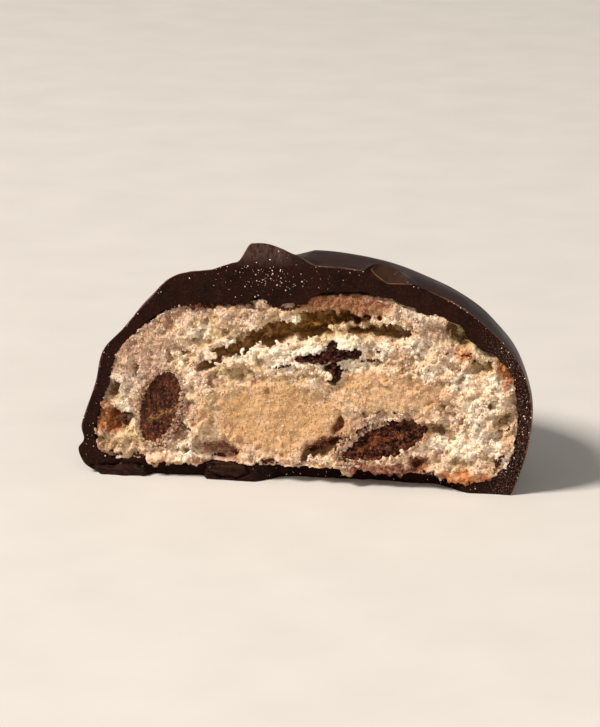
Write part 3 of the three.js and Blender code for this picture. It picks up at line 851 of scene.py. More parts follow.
# What the crumb's material reads at each point. The depth value is how far a point lies behind what is round
# it:
# the material paints shade where it lies back and light where it stands out.
VALUES = {
    "browned": browned,
    "dense": dense,
    # the crevice, which the material darkens as painted shade
    "hollow": crevice_share(x, z) * ramp(y, 0.7, 2.3),
    "depth_shading": np.clip(depth / 1.2, -1, 1),
    "crust": crust,
    "dust_and_reflection": np.clip(dust_and_reflection, 0, 1),
    "pit_shade": pit_shade,
    "pale": pale,
    "tone": 0.5 * flake_share + 0.5 * patch_share,
}
for value, found in VALUES.items():
    set_values(broken, value, found)

# Fine loose crumbs all over the break, in meshes of their own, coloured like the place that each lies on.
polygons = [p.vertices[:] for p in broken.polygons]
broken_tree = face_tree(broken)


def loose(name, count, size_range, box, keep):
    """Fine crumbs that lie on the break."""
    left, right, low, high = box
    smallest, largest = size_range
    at, wide, under = [], [], []
    for _ in range(count):
        start = Vector((dice.uniform(left, right), IN_FRONT, dice.uniform(low, high)))
        direction = Vector((dice.uniform(-0.3, 0.3), 1, 0.25))
        hit, normal, index, _distance = broken_tree.ray_cast(start, direction)
        if hit is None or hit.y > HIDDEN:
            continue
        at.append(hit + normal * 0.02)
        wide.append(smallest + (largest - smallest) * dice.random() ** 2.2)
        under.append(polygons[index][0])
    at, wide, under = np.array(at), np.array(wide), np.array(under)
    loosened = flaky(at[:, 0], at[:, 2])
    kept = keep(at[:, 0], at[:, 2]) & (shapes.random(len(at)) > 0.45 * loosened)
    at, wide, under = at[kept], (wide * (0.7 + 0.45 * loosened))[kept], under[kept]
    piece = grains(name, at, wide, uneven=0.3, flat=0.55)
    each = len(piece.data.vertices) // len(at)
    for value, found in VALUES.items():
        if value == "tone":
            found = shapes.random(len(broken.vertices))
        set_values(piece.data, value, np.repeat(found[under], each))
    return piece


def off_chocolate(x, z):
    """Whether points of the cut are clear of the chips and shards."""
    return (near_chip(x, z, 0.93) <= 0) & (near_shard(x, z) > 0.42)


LOOSE_COUNT = 10500
LOOSE_SIZES = (0.07, 0.2)
fine_left = loose("loose_crumbs_left", LOOSE_COUNT, LOOSE_SIZES, (-24.6, 1.5, 1.0, 22.6), off_chocolate)
fine_right = loose("loose_crumbs_right", LOOSE_COUNT, LOOSE_SIZES, (0.5, 24.8, 1.0, 22.6), off_chocolate)

# ---------------------------------------------------------------- chips and shards


def finer(name, cell, rounds):
    """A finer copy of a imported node, with its facets smoothed."""
    piece = shown(name + "_snapped", cad_copy(name))
    remesh(piece, cell)
    bm = opened(piece.data)
    every_axis = {"use_axis_x": True, "use_axis_y": True, "use_axis_z": True}
    for _ in range(rounds):
        bmesh.ops.smooth_vert(bm, verts=bm.verts, factor=0.5, **every_axis)
    stored(bm, piece.data)
    return piece


# Each chip's snapped face has facets with seams between them, a border where crumb dust lies, low places
# that are painted darker as shade and raised places painted paler as light, and a vein along a line where its
# fat came out.
chips = {}
for name, spot in CHIPS.items():
    chip = finer(name, cell=0.13, rounds=3)
    spots = coordinates(chip.data)
    out = normals(chip.data)
    u, w = within(spot, spots[:, 0], spots[:, 2])
    from_middle = np.sqrt(u * u + w * w)
    border_dust_and_highlight = ramp(from_middle + 0.12 * bumps(spots, 0.9, 2, 27), 0.72, 0.98)
    facet, seam, _share = chunks(spots * (1, 1, 0.6), 1.2, 46)
    rough = 0.13 * facet - 0.04 * (1 - ramp(seam, 0, 0.12)) + 0.12 * bumps(spots * (1, 1, 0.25), 0.35, 3, 22)
    rough += (0.3 + 0.7 * border_dust_and_highlight) * 0.2 * bumps(spots, 0.55, 3, 23)
    if name.endswith("right"):
        facet, seam, _share = chunks(spots * (0.6, 1, 1.3), 0.7, 47)
        rough += 0.16 * facet - 0.22 * (1 - ramp(seam, 0, 0.2))
        rough += 0.15 * bumps(spots * (0.5, 1, 1.6), 0.9, 3, 24)
        border_dust_and_highlight = 0.7 * border_dust_and_highlight
    else:
        border_dust_and_highlight = border_dust_and_highlight * (0.15 + 0.85 * ramp(-0.8 * w - 0.6 * u, -0.5, 0.6))
    reach = 0.2 * ramp(from_middle, 0.75, 0.92)
    place(chip.data, spots + out * rough[:, None] + out * (1, 0, 1) * reach[:, None])
    x, y, z = coordinates(chip.data).T
    set_values(chip.data, "border_dust_and_highlight", border_dust_and_highlight)
    # how low each place lies: the material paints it darker as shade where low and paler as light where
    # raised
    set_values(chip.data, "low", np.clip(-2.5 * rough, -1, 1))
    if name.endswith("left"):
        line = np.array([(-17.6, 6.6), (-16.2, 7.5), (-14.9, 7.9), (-13.7, 8.8)])
        off_line = distance_to(line, x + 0.3 * bumps(spots, 0.8, 2, 25), z) / 0.28
    else:
        line = np.array([(6.0, 4.0), (8.3, 5.4), (9.6, 5.5), (11.4, 6.2)])
        off_line = distance_to(line, x, z + 0.6 * bumps(spots * (0.5, 1, 1), 0.9, 2, 26)) / 0.3
    set_values(chip.data, "streak", np.exp(-(off_line**2)))
    chips[name] = chip

# The shards have smaller, sharper facets and stand a little forward.
shards = {}
for name in ("chocolate_shard_upper", "chocolate_shard_lower"):
    shard = finer(name, cell=0.11, rounds=1)
    spots = coordinates(shard.data)
    out = normals(shard.data)
    facet, seam, _share = chunks(spots, 0.5, 52)
    push = 0.34 * facet - 0.16 * (1 - ramp(seam, 0, 0.14)) + 0.14 * bumps(spots, 0.4, 3, 31) - 0.1
    place(shard.data, spots + out * push[:, None] - (0, 0.25, 0))
    # On the shards the border value marks their raised facets, which the material lightens as a painted
    # highlight, and the low value marks where they sink, which it darkens as painted shade.
    set_values(shard.data, "border_dust_and_highlight", ramp(push, 0.0, 0.2))
    set_values(shard.data, "low", np.clip(-4 * push, -1, 1))
    set_values(shard.data, "streak", 0 * push)
    shards[name] = shard

# Crumbs that lie over the borders of the chips and shards, thickest at the right chip's upper left and
# along the left chip's right side.
break_trees = [broken_tree, *(face_tree(piece.data) for piece in (*chips.values(), *shards.values()))]
laps = []
for name, (cx, cz, across, up, tilt) in CHIPS.items():
    c, s = math.cos(math.radians(tilt)), math.sin(math.radians(tilt))
    for _ in range(900):
        t = dice.uniform(0, 2 * math.pi)
        u, w = math.cos(t), math.sin(t)
        if name.endswith("left"):
            side = max(0, -0.85 * w - 0.35 * u)
            outer = max(0, w - 0.2)
            covered, brown, ash = 0.02 + 0.26 * side**1.5 + 0.05 * outer, 0.35 + 0.6 * max(side, outer), 0.3
        else:
            side = max(0, 0.75 * w - 0.65 * u)
            if dice.random() > 0.2 + 1.2 * side:
                continue
            covered, brown, ash = 0.02 + 0.28 * side**2, 0.9 - 0.9 * side, 0.3 + 0.7 * side
        f = 1.08 - (covered + 0.06) * dice.random() - 0.02 * dice.gauss(0, 1)
        x = cx + (u * across * c - w * up * s) * f
        z = cz + (u * across * s + w * up * c) * f
        laps.append((x, z, brown * dice.random() ** 0.4, ash))
at, wide, under, laid_brown, laid_ash = [], [], [], [], []
for x, z, brown, ash in laps:
    hits = [met(tree, x, z) for tree in break_trees]
    hits = [found for found in hits if found[0] is not None and found[0].y < 2.2]
    if not hits:
        continue
    hit, normal = min(hits, key=lambda found: found[0].y)
    size = 0.09 + 0.19 * dice.random() ** 1.7
    at.append(hit + normal * size * 0.3)
    wide.append(size)
    under.append(polygons[broken_tree.find_nearest(Vector((x, 0.3, z)))[2]][0])
    laid_brown.append(brown)
    laid_ash.append(ash)
rim_crumbs = grains("crumbs_on_chips", at, wide, uneven=0.4, flat=0.45)
each = len(rim_crumbs.data.vertices) // len(at)
for value, found in VALUES.items():
    found = found[under]
    if value == "depth_shading":
        found = np.clip(found, -0.1, 0.15)
    if value == "tone":
        found = 0.15 + 0.5 * shapes.random(len(at))
    if value == "browned":
        found = np.array(laid_brown)
    if value == "dust_and_reflection":
        found = np.maximum(found, laid_ash)
    set_values(rim_crumbs.data, value, np.repeat(found, each))

# ---------------------------------------------------------------- specks

coat_tree = face_tree(coating.data)
pick = random.Random(3)
grain_places = []


def drop_grain(x, z):
    """A grain that lies on what shows of the coating at (x, z)."""
    hit, normal = met(coat_tree, x, z)
    if hit is not None and hit.y < 3:
        grain_places.append(hit + normal * 0.01)


# thickest below the ridge, then along the outline, up both walls and along the base
for _ in range(130):
    drop_grain(pick.gauss(-3.6, 3.4), pick.gauss(23.7, 1.0))
outline = outline_of_cut()
for _ in range(90):
    at = outline[int(pick.uniform(90, 900))]
    drop_grain(at[0] + pick.uniform(-0.2, 0.2), at[1] - abs(pick.gauss(0.1, 0.35)))
for _ in range(110):
    drop_grain(pick.uniform(22, 25.6), pick.uniform(2, 17))
for _ in range(60):
    drop_grain(pick.uniform(-25.5, -22), pick.uniform(2, 17))
for _ in range(70):
    drop_grain(pick.uniform(-6, 20), pick.uniform(0.2, 1.7))
grain_sizes = [0.03 + 0.06 * pick.random() ** 2.5 for _ in grain_places]
sugar = grains("sugar_grains", grain_places, grain_sizes)

# Chocolate flecks caught in the crumb, as (x, z, half length, half width, tilt).
FLECKS = [
    (7.7, 14.6, 1.1, 0.17, 2), (8.5, 15.7, 0.4, 0.2, -45), (-2.3, 13.6, 0.8, 0.2, 8),
    (8.4, 8.75, 0.25, 0.14, 10), (10.4, 8.95, 0.25, 0.15, -30), (10.9, 8.3, 0.15, 0.1, 0),
    (16.0, 15.9, 0.3, 0.14, 10), (18.2, 15.8, 0.5, 0.17, 10), (19.0, 14.9, 0.2, 0.14, 60),
    (-12.4, 19.8, 0.5, 0.3, 10), (-11.5, 20.2, 0.7, 0.34, 5), (-10.6, 20.0, 0.6, 0.28, 0),
    (-9.4, 20.4, 0.7, 0.27, 15), (-8.0, 20.5, 0.8, 0.25, 0), (-6.6, 20.5, 0.7, 0.25, 0),
    (-3.2, 20.5, 0.8, 0.26, -15), (-1.9, 20.2, 0.7, 0.3, 0), (-0.7, 20.4, 0.6, 0.25, 10),
    (-3.8, 20.9, 0.5, 0.3, 0), (-21.4, 2.6, 0.7, 0.24, -10), (-18.9, 2.2, 0.8, 0.24, 0),
    (-9.8, 2.5, 0.7, 0.3, 0), (-8.0, 3.0, 0.5, 0.25, 20), (-4.0, 2.4, 1.2, 0.26, 3),
    (4.6, 3.2, 0.7, 0.2, -25), (12.8, 2.6, 0.5, 0.42, 70), (14.2, 2.2, 0.7, 0.25, -5),
    (22.0, 3.8, 0.9, 0.3, 65), (-20.8, 6.1, 0.45, 0.35, 80), (22.9, 7.4, 0.35, 0.2, 50),
    (3.9, 5.4, 0.8, 0.2, 60), (3.4, 4.6, 0.7, 0.35, 25), (1.0, 3.7, 0.8, 0.22, 10), (4.3, 4.2, 0.5, 0.3, 0),
    (-12.6, 13.4, 0.3, 0.12, 40), (-21.0, 15.0, 0.4, 0.12, 30), (5.0, 13.4, 0.25, 0.12, 0),
    (20.6, 14.9, 0.3, 0.1, 80),
]
fleck_places, fleck_sizes = [], []
for x, z, half, wide, tilt in FLECKS:
    c, s = math.cos(math.radians(tilt)), math.sin(math.radians(tilt))
    for step in np.linspace(-1, 1, max(3, round(2.4 * half / wide))):
        beside = pick.gauss(0, wide * 0.3)
        above = pick.gauss(0, wide * 0.3)
        hit, normal = met(broken_tree, x + step * half * c + beside, z + step * half * s + above)
        if hit is not None:
            fleck_places.append(hit + normal * wide * 0.3)
            fleck_sizes.append(wide * pick.uniform(0.8, 1.35) * (1.1 - 0.5 * abs(step)))
flecks = grains("chocolate_flecks", fleck_places, fleck_sizes, uneven=0.4, flat=0.45)
for value in ("border_dust_and_highlight", "low", "streak"):
    set_values(flecks.data, value, np.zeros(len(flecks.data.vertices)))

# ---------------------------------------------------------------- materials


def linear(text):
    """A colour written as sRGB hex, as the linear values that a shader takes."""
    parts = [int(text[i:i + 2], 16) / 255 for i in (1, 3, 5)]
    return (*(c / 12.92 if c <= 0.04045 else ((c + 0.055) / 1.055) ** 2.4 for c in parts), 1)


def per(size):
    """A texture scale whose features are about size millimetres across."""
    return 1000 / size


def node(tree, kind, inputs, out=0, **settings):
    """Adds a node with its settings, fed by values or other nodes' sockets. Returns one of its outputs."""
    made = tree.nodes.new("ShaderNode" + kind)
    for name, value in settings.items():
        setattr(made, name, value)
    for name, value in inputs.items():
        if isinstance(value, bpy.types.NodeSocket):
            tree.links.new(value, made.inputs[name])
        else:
            made.inputs[name].default_value = value
    return made.outputs[out] if made.outputs else None


def blank(name, values=()):
    """A new material, its nodes, the object's own coordinates, and the values of those names in the mesh."""
    material = bpy.data.materials.new(name)
    material.use_nodes = True
    tree = material.node_tree
    tree.nodes.clear()
    coords = node(tree, "TexCoord", {}, "Object")
    kept = {value: node(tree, "Attribute", {}, "Fac", attribute_name=value) for value in values}
    return material, tree, coords, kept


def layered(tree, colour, layers):
    """Lays colours over a colour. Each layer has a value, the two values between which it comes in, how much
    of it shows at each of the two, a share that this is multiplied by, and its own colour."""
    for value, (low, high), (least, most), share, over in layers:
        shows = node(tree, "MapRange", {0: value, 1: low, 2: high, 3: least, 4: most})
        amount = node(tree, "Math", {0: shows, 1: share}, operation="MULTIPLY")
        top = linear(over) if isinstance(over, str) else over
        colour = node(tree, "Mix", {0: amount, 6: colour, 7: top}, 2, data_type="RGBA")
    return colour


# Baked crumb that was broken, not sliced: dry and matt, with light that goes a little way in, so it looks
# pale and crumbly, golden where it stayed moist and browned where it baked hardest. Its crevice is painted
# warm and dark as shade, with painted highlights on the lumps in it; painted shade darkens its recesses,
# pits, pinholes and the crust under the coating, and painted light brightens the lumps that stand out. Its
# flour grain is finer than the render shows, and is drawn 0.14 mm across.
crumb, tree, coords, kept = blank(
    "broken_baked_crumb",
    ("tone", "depth_shading", "dense", "pit_shade", "pale", "dust_and_reflection", "crust", "browned", "hollow"),
)
fine = node(tree, "TexNoise", {"Vector": coords, "Scale": per(0.35), "Detail": 4, "Roughness": 0.6})
coarse = node(tree, "TexNoise", {"Vector": coords, "Scale": per(2.6), "Detail": 3, "Roughness": 0.5})
flour = node(tree, "TexNoise", {"Vector": coords, "Scale": per(0.14), "Detail": 2, "Roughness": 0.5})
lumps = node(tree, "TexNoise", {"Vector": coords, "Scale": per(0.9), "Detail": 3, "Roughness": 0.6})
pores = node(tree, "TexNoise", {"Vector": coords, "Scale": per(0.42), "Detail": 2, "Roughness": 0.5})
drifts = node(tree, "TexNoise", {"Vector": coords, "Scale": per(3.5), "Detail": 2, "Roughness": 0.5})
across = node(tree, "SeparateXYZ", {0: coords}, "X")
gathered_pores = node(tree, "MapRange", {0: drifts, 1: 0.42, 2: 0.58, 3: 0.05, 4: 0.9})
loose_grain = node(tree, "MapRange", {0: kept["dense"], 3: 0.85, 4: 0.3})
porous = node(tree, "Math", {0: gathered_pores, 1: loose_grain}, operation="MULTIPLY")
orange = layered(tree, linear("#c06a1e"), [(coarse, (0.35, 0.65), (0, 1), 1, "#96501f")])
toasted = layered(tree, linear("#86432a"), [
    (coarse, (0.35, 0.65), (0, 1), 1, "#6a301c"),
    (across, (0.012, 0.015), (0, 1), 1, orange),
    (across, (-0.0185, -0.0205), (0, 0.5), 1, orange),
    (kept["tone"], (0.45, 0.2), (0, 1), 1, "#552612"),
    (kept["tone"], (0.62, 0.85), (0, 0.7), 1, "#d0935f"),
])
# The crevice's colour is painted shade: warm and dark, with painted highlights on the lumps in it.
crevice_shade = layered(tree, linear("#7f4f1b"), [
    (kept["tone"], (0.2, 0.8), (0, 1), 1, "#bd8842"),
    (lumps, (0.5, 0.34), (0, 0.7), 1, "#53330f"),
    (lumps, (0.5, 0.66), (0, 0.8), 1, "#d6aa66"),
])
colour = layered(tree, linear("#dbbc97"), [
    (coarse, (0.38, 0.62), (0, 1), 1, "#e0c3ac"),
    (fine, (0.4, 0.7), (0, 0.6), 1, "#c59a6c"),
    # painted light where the crumb stands out
    (kept["depth_shading"], (0, -0.5), (0, 0.65), 1, "#f1dcc2"),
    (kept["tone"], (0.62, 1), (0, 0.9), 1, "#f6e5cb"),
    (kept["tone"], (0.38, 0), (0, 0.85), 1, "#b98b5c"),
    # painted shade in the pits
    (kept["pit_shade"], (0, 1), (0, 1), 1, "#bda775"),
    # paler crumb and painted light on the brightest lumps
    (fine, (0.68, 0.4), (0.1, 0.75), kept["pale"], "#f8edd8"),
    (flour, (0.62, 0.72), (0, 0.6), 1, "#fff6e6"),
    # dust, partly a painted pinkish reflection on the left
    (fine, (0.3, 0.6), (0.25, 0.85), kept["dust_and_reflection"], "#9a7565"),
    (kept["tone"], (0.84, 0.98), (0, 0.7), 1, "#f3e4d2"),
    (kept["tone"], (0.6, 1), (0.85, 0.5), kept["dense"], "#c69a6a"),
    # painted shade in the recesses
    (kept["depth_shading"], (0.05, 0.6), (0, 0.9), 1, "#80592f"),
    # crust, partly painted shade under the coating's overhang
    (kept["crust"], (0, 1), (0, 0.92), 1, "#935e3c"),
    (fine, (0.3, 0.58), (0.6, 1), kept["browned"], toasted),
    # painted shade in the crevice
    (kept["hollow"], (0, 1), (0, 1), 1, crevice_shade),
    # painted shade in pinholes that the mesh does not have
    (pores, (0.39, 0.33), (0, 1), porous, "#583a24"),
])
pits = node(tree, "TexVoronoi", {"Vector": coords, "Scale": per(0.3)}, "Distance", feature="F1")
raised = node(tree, "Math", {0: fine, 1: 1.2}, operation="MULTIPLY")
height = node(tree, "Math", {0: raised, 1: pits}, operation="SUBTRACT")
bump = node(tree, "Bump", {"Strength": 0.6, "Distance": 0.0001, "Height": height})
shader = node(tree, "BsdfPrincipled", {
    "Base Color": colour, "Roughness": 0.8, "Subsurface Weight": 0.3, "Subsurface Radius": (1.0, 0.62, 0.33),
    "Subsurface Scale": 0.0005, "Specular IOR Level": 0.3, "Normal": bump,
})
node(tree, "OutputMaterial", {"Surface": shader})

# Dark chocolate that was poured on and left to set: satin, in long soft waves, with a dull bloom here and
# there and a painted highlight along its edge where it meets the cut. Its dust is finer than the render
# shows, and is drawn
# 0.16 mm across.
poured, tree, coords, kept = blank("poured_dark_chocolate", ("edge",))
clouds = node(tree, "TexNoise", {"Vector": coords, "Scale": per(7), "Detail": 3, "Roughness": 0.5})
dust = node(tree, "TexNoise", {"Vector": coords, "Scale": per(0.16), "Detail": 2, "Roughness": 0.5})
bloom = node(tree, "TexNoise", {"Vector": coords, "Scale": per(3), "Detail": 4, "Roughness": 0.6})
ripple = node(tree, "TexNoise", {"Vector": coords, "Scale": per(1.8), "Detail": 3, "Roughness": 0.5})
dust_from = node(tree, "MapRange", {0: kept["edge"], 1: 0, 2: 5, 3: 0.64, 4: 0.74})
colour = layered(tree, linear("#200c07"), [
    (clouds, (0.35, 0.65), (0, 1), 1, "#2c130b"),
    # painted highlight along the cut edge
    (kept["edge"], (0.03, 0.14), (0.6, 0), 1, "#6d4a3b"),
    (dust, (dust_from, 0.8), (0, 0.6), 1, "#80695d"),
])
shine = node(tree, "MapRange", {0: bloom, 1: 0.3, 2: 0.7, 3: 0.3, 4: 0.44})
bump = node(tree, "Bump", {"Strength": 0.35, "Distance": 0.00008, "Height": ripple})
shader = node(tree, "BsdfPrincipled", {
    "Base Color": colour, "Roughness": shine, "Specular IOR Level": 0.09, "Normal": bump,
})
node(tree, "OutputMaterial", {"Surface": shader})

# Dark chocolate that a knife went through: duller than where it was poured, with slanted grey scrapes on the
# ridge that are partly painted sheen where it leans up to the light, torn flakes at the foot, a painted
# highlight along its thin edge, and sugar dust on the right wall. Its grit is drawn 0.13 mm across, coarser
# than it is, so that it shows.
cut, tree, coords, kept = blank("cut_dark_chocolate", ("edge", "facet", "scraped"))
across = node(tree, "SeparateXYZ", {0: coords}, "X")
up = node(tree, "SeparateXYZ", {0: coords}, "Z")
cloud = node(tree, "TexNoise", {"Vector": coords, "Scale": per(2.5), "Detail": 4, "Roughness": 0.6})
grit = node(tree, "TexNoise", {"Vector": coords, "Scale": per(0.13), "Detail": 2, "Roughness": 0.6})
slanted = node(tree, "Mapping", {"Vector": coords, "Rotation": (0, 0.2, 0), "Scale": (1, 1, 0.07)})
scrape = node(tree, "TexNoise", {"Vector": slanted, "Scale": per(0.3), "Detail": 4, "Roughness": 0.65})
lengthways = node(tree, "Mapping", {"Vector": coords, "Rotation": (0, 0.1, 0), "Scale": (0.2, 1, 1)})
torn = node(tree, "TexNoise", {"Vector": lengthways, "Scale": per(0.3), "Detail": 4, "Roughness": 0.7})
high = node(tree, "MapRange", {0: up, 1: 0.0248, 2: 0.0262})
on_left = node(tree, "MapRange", {0: across, 1: -0.0002, 2: -0.0022})
ridge = node(tree, "Math", {0: high, 1: on_left}, operation="MULTIPLY")
right_wall = node(tree, "MapRange", {0: across, 1: 0.0195, 2: 0.0225, 3: 0.12, 4: 0.9})
edge_highlight = node(tree, "MapRange", {0: kept["edge"], 1: 0.04, 2: 0.14, 3: 1, 4: 0})
from_facet = node(tree, "Math", {0: kept["facet"]}, operation="ABSOLUTE")
facet_edge = node(tree, "MapRange", {0: from_facet, 1: 0.09, 2: 0.02})
colour = layered(tree, linear("#180805"), [
    (cloud, (0.35, 0.65), (0, 1), 1, "#240e08"),
    # knife scrapes, partly painted sheen where the ridge leans up to the light
    (scrape, (0.35, 0.7), (0.15, 1), ridge, "#4e3a33"),
    (grit, (0.56, 0.7), (0, 1), right_wall, "#8a6f60"),
    # painted highlight along the cut edge
    (cloud, (0.35, 0.6), (0.2, 0.85), edge_highlight, "#795646"),
    (kept["facet"], (0, 0.12), (0, 0.8), 1, "#35241a"),
    (cloud, (0.4, 0.6), (0.25, 0.7), facet_edge, "#76583f"),
    (torn, (0.42, 0.66), (0, 0.75), kept["scraped"], "#38261f"),
])
dull = node(tree, "MapRange", {0: cloud, 1: 0.3, 2: 0.7, 3: 0.45, 4: 0.62})
drag = node(tree, "TexNoise", {"Vector": coords, "Scale": per(0.6), "Detail": 3, "Roughness": 0.6})
relief = node(tree, "Math", {0: grit, 1: 0.5, 2: drag}, operation="MULTIPLY_ADD")
bump = node(tree, "Bump", {"Strength": 0.5, "Distance": 0.00006, "Height": relief})
shader = node(tree, "BsdfPrincipled", {
    "Base Color": colour, "Roughness": dull, "Specular IOR Level": 0.05, "Normal": bump,
})
node(tree, "OutputMaterial", {"Surface": shader})


def baked_chocolate(name, dark, light, vein, crackle, pitted, chalk_and_glint):
    """Chocolate that was baked in the dough and snapped with it: dull and finely grained, painted near black
    as shade in its pores and low places, painted paler as light where it stands up, with chalky bloom and
    painted glints among its pores, and dusty with crumb at its rim; on a shard, a painted highlight lies on
    the raised facets instead."""
    material, tree, coords, kept = blank(name, ("low", "border_dust_and_highlight", "streak"))
    upright = node(tree, "Mapping", {"Vector": coords, "Scale": (1, 1, 0.22)})
    grain = node(tree, "TexNoise", {"Vector": upright, "Scale": per(0.2), "Detail": 4, "Roughness": 0.65})
    powder = node(tree, "TexNoise", {"Vector": coords, "Scale": per(0.22), "Detail": 3, "Roughness": 0.6})
    pores = node(tree, "TexNoise", {"Vector": coords, "Scale": per(0.3), "Detail": 3, "Roughness": 0.7})
    colour = layered(tree, linear(dark), [
        (grain, (0.38, 0.62), (0, 1), 1, light),
        # painted shade in low places, painted light where raised
        (kept["low"], (0, 0.6), (0, 0.9), 1, "#120604"),
        (kept["low"], (0, -0.8), (0, 0.4), 1, "#6d4632"),
        # painted shade in the pores
        (pores, (0.53, 0.6), (0, pitted), 1, "#0f0604"),
        # chalky bloom with painted glints
        (pores, (0.42, 0.34), (0, pitted), 1, chalk_and_glint),
        # crumb dust at a chip's border; on the shards, a painted highlight on their raised facets
        (powder, (0.42, 0.58), (0, 1), kept["border_dust_and_highlight"], "#8a4f35"),
        (powder, (0.42, 0.6), (0, 0.8), kept["streak"], vein),
    ])
    height = node(tree, "Math", {0: powder, 1: crackle, 2: grain}, operation="MULTIPLY_ADD")
    bump = node(tree, "Bump", {"Strength": 0.9, "Distance": 0.0002, "Height": height})
    shader = node(tree, "BsdfPrincipled", {
        "Base Color": colour, "Roughness": 0.6, "Specular IOR Level": 0.12, "Normal": bump,
    })
    node(tree, "OutputMaterial", {"Surface": shader})
    return material


# The left chip's face is an even, upright-grained brown with a tan vein where its fat came out.
left_chip_look = baked_chocolate("left_chip_snapped", "#24110b", "#633420", "#b08250", 0.6, 0.75, "#955f43")
# The right chip's face crackled: painted shade in its deep pores, a reddish vein, and chalky crests with
# painted glints.
right_chip_look = baked_chocolate("right_chip_snapped", "#1e0e09", "#67301c", "#a55e36", 1.2, 0.95, "#9a6c57")
# The shards are thin and broke clean, so they stay dark, painted a little red as if light came through, and
# with a painted highlight on their raised facets.
shard_look = baked_chocolate("shard_snapped", "#290e09", "#562418", "#8a4f35", 0.6, 0.6, "#8f5238")
# The flecks are slivers smeared through the crumb: dark, with few pores.
fleck_look = baked_chocolate("fleck_smeared", "#2a0f08", "#5c2a1a", "#8a4f35", 0.6, 0.3, "#7a4a35")

# Sugar grains, dry and broken: off-white and hard, so each catches a small glint of the key light.
sugar_look, tree, coords, kept = blank("dry_sugar")
tint = node(tree, "TexNoise", {"Vector": coords, "Scale": per(0.4), "Detail": 2, "Roughness": 0.5})
colour = layered(tree, linear("#d9c2ae"), [(tint, (0.4, 0.6), (0, 1), 1, "#f6ecdf")])
shader = node(tree, "BsdfPrincipled", {"Base Color": colour, "Roughness": 0.35, "Specular IOR Level": 0.5})
node(tree, "OutputMaterial", {"Surface": shader})

# ---------------------------------------------------------------- the coating's two surfaces

mesh = coating.data
points = coordinates(mesh)
centres = gathered(mesh.polygons, "center")
facing = gathered(mesh.polygons, "normal")
off_cut = np.abs(centres[:, 1] - coating_face(centres[:, 0], centres[:, 2]))
on_cut = (off_cut < 0.12) & (facing[:, 1] < -0.15)
mesh.materials.clear()
mesh.materials.append(poured)
mesh.materials.append(cut)
mesh.polygons.foreach_set("material_index", on_cut.astype(np.int32))
away = distance_to(outline[::2], points[:, 0], points[:, 2])
from_cut = points[:, 1] - coating_face(points[:, 0], points[:, 2])
set_values(mesh, "edge", np.hypot(np.minimum(away, 5), np.clip(from_cut, 0, 5)))
set_values(mesh, "facet", inside(FLAP_FACET, points[:, 0], points[:, 2]))
set_values(mesh, "scraped", scraped(points[:, 0], points[:, 2]))
mesh.shade_smooth()
mesh.set_sharp_from_angle(angle=math.radians(38))
mesh.update()

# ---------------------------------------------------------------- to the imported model's frame

# Each piece, its material where one covers it all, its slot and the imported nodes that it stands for.
LOOKS = [
    (coating, None, "dark_chocolate", ("chocolate_coating",)),
    (cookie, crumb, "cookie_crumb", ("cookie",)),
    (chips["chocolate_chip_left"], left_chip_look, "baked_chocolate", ("chocolate_chip_left",)),
    (chips["chocolate_chip_right"], right_chip_look, "baked_chocolate", ("chocolate_chip_right",)),
    (shards["chocolate_shard_upper"], shard_look, "baked_chocolate", ("chocolate_shard_upper",)),
    (shards["chocolate_shard_lower"], shard_look, "baked_chocolate", ("chocolate_shard_lower",)),
    (flecks, fleck_look, "baked_chocolate", ()),
    (sugar, sugar_look, "cookie_crumb", ()),
    (rim_crumbs, crumb, "cookie_crumb", ()),
    (fine_left, crumb, "cookie_crumb", ()),
    (fine_right, crumb, "cookie_crumb", ()),
]
for piece, look, slot, stands_for in LOOKS:
    piece.data.transform(TO_ROW)
    if look:
        piece.data.materials.clear()
        piece.data.materials.append(look)
        if stands_for:
            piece.data.shade_smooth()
        else:
            piece.data.shade_flat()
    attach(piece, "root")
    if stands_for:
        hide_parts(*stands_for)

# ---------------------------------------------------------------- floor, light and camera

bm = bmesh.new()
bmesh.ops.create_grid(bm, x_segments=8, y_segments=8, size=1.5)
floor = shown("floor", stored(bm, bpy.data.meshes.new("floor")))
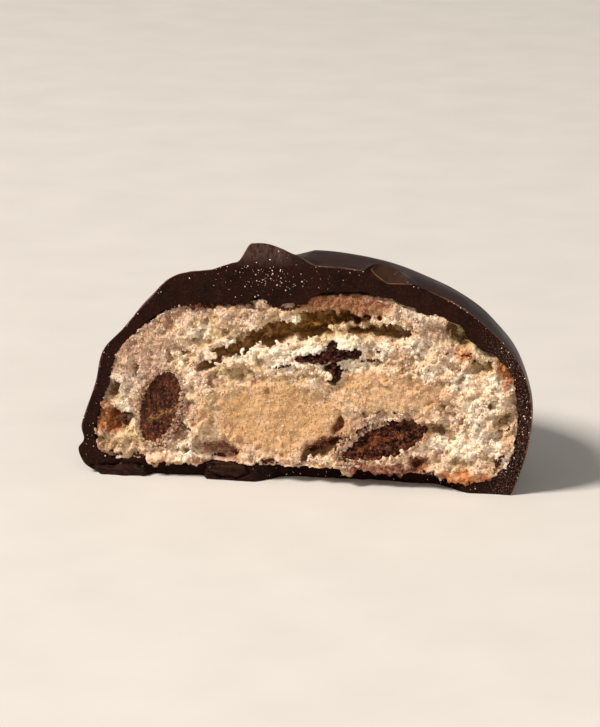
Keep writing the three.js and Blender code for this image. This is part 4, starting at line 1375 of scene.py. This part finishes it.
# Pale uncoated card: matt and even, so that it shows the cookie's shadow and nothing of its own.
floor_look, tree, coords, kept = blank("pale_card")
paper = node(tree, "TexNoise", {"Vector": coords, "Scale": per(12), "Detail": 3, "Roughness": 0.5})
colour = layered(tree, linear("#d3d0cb"), [(paper, (0.3, 0.7), (0, 1), 1, "#d8d5d0")])
shader = node(tree, "BsdfPrincipled", {"Base Color": colour, "Roughness": 0.9, "Specular IOR Level": 0.1})
node(tree, "OutputMaterial", {"Surface": shader})
floor.data.materials.append(floor_look)

# a dim, even surround
world = bpy.data.worlds.new("studio")
bpy.context.scene.world = world
world.use_nodes = True
background = world.node_tree.nodes["Background"]
background.inputs["Color"].default_value = linear("#ebe7e2")
background.inputs["Strength"].default_value = 0.3


def lamp(name, place_at, target, size, power, colour):
    """A soft square light that looks at the target."""
    data = bpy.data.lights.new(name, "AREA")
    data.size = size
    data.energy = power
    data.color = linear(colour)[:3]
    made = bpy.data.objects.new(name, data)
    bpy.context.scene.collection.objects.link(made)
    made.location = place_at
    made.rotation_euler = (Vector(target) - Vector(place_at)).to_track_quat("-Z", "Y").to_euler()
    return made


# A soft key from the upper left, because the photograph's shadow falls to the right, and a weak fill.
lamp("key", (-0.90, -0.72, 1.20), (0, -0.005, 0.012), 0.42, 37, "#fff6ec")
lamp("fill", (0.5, -1.1, 0.5), (0, 0, 0.012), 0.9, 4.5, "#fff6ee")

# The photograph's view: from 10 degrees to the right and 16 above, through a long lens, and shifted so that
# the cookie lies in the frame where it lies there.
azimuth, elevation, away = math.radians(10), math.radians(16), 0.330
back = Vector((
    math.sin(azimuth) * math.cos(elevation),
    -math.cos(azimuth) * math.cos(elevation),
    math.sin(elevation),
))
camera_data = bpy.data.cameras.new("camera")
camera = bpy.data.objects.new("camera", camera_data)
bpy.context.scene.collection.objects.link(camera)
camera.location = TO_ROW @ Vector((0, 0, 12)) + back * away
camera.rotation_mode = "QUATERNION"
camera.rotation_quaternion = (-back).to_track_quat("-Z", "Y")
camera_data.lens = 147.07
camera_data.sensor_width = 36
camera_data.shift_x = -0.0035
camera_data.shift_y = 0.0249
camera_data.clip_start = 0.01
camera_data.clip_end = 10
bpy.context.scene.camera = camera
bpy.context.scene.view_settings.view_transform = "Standard"
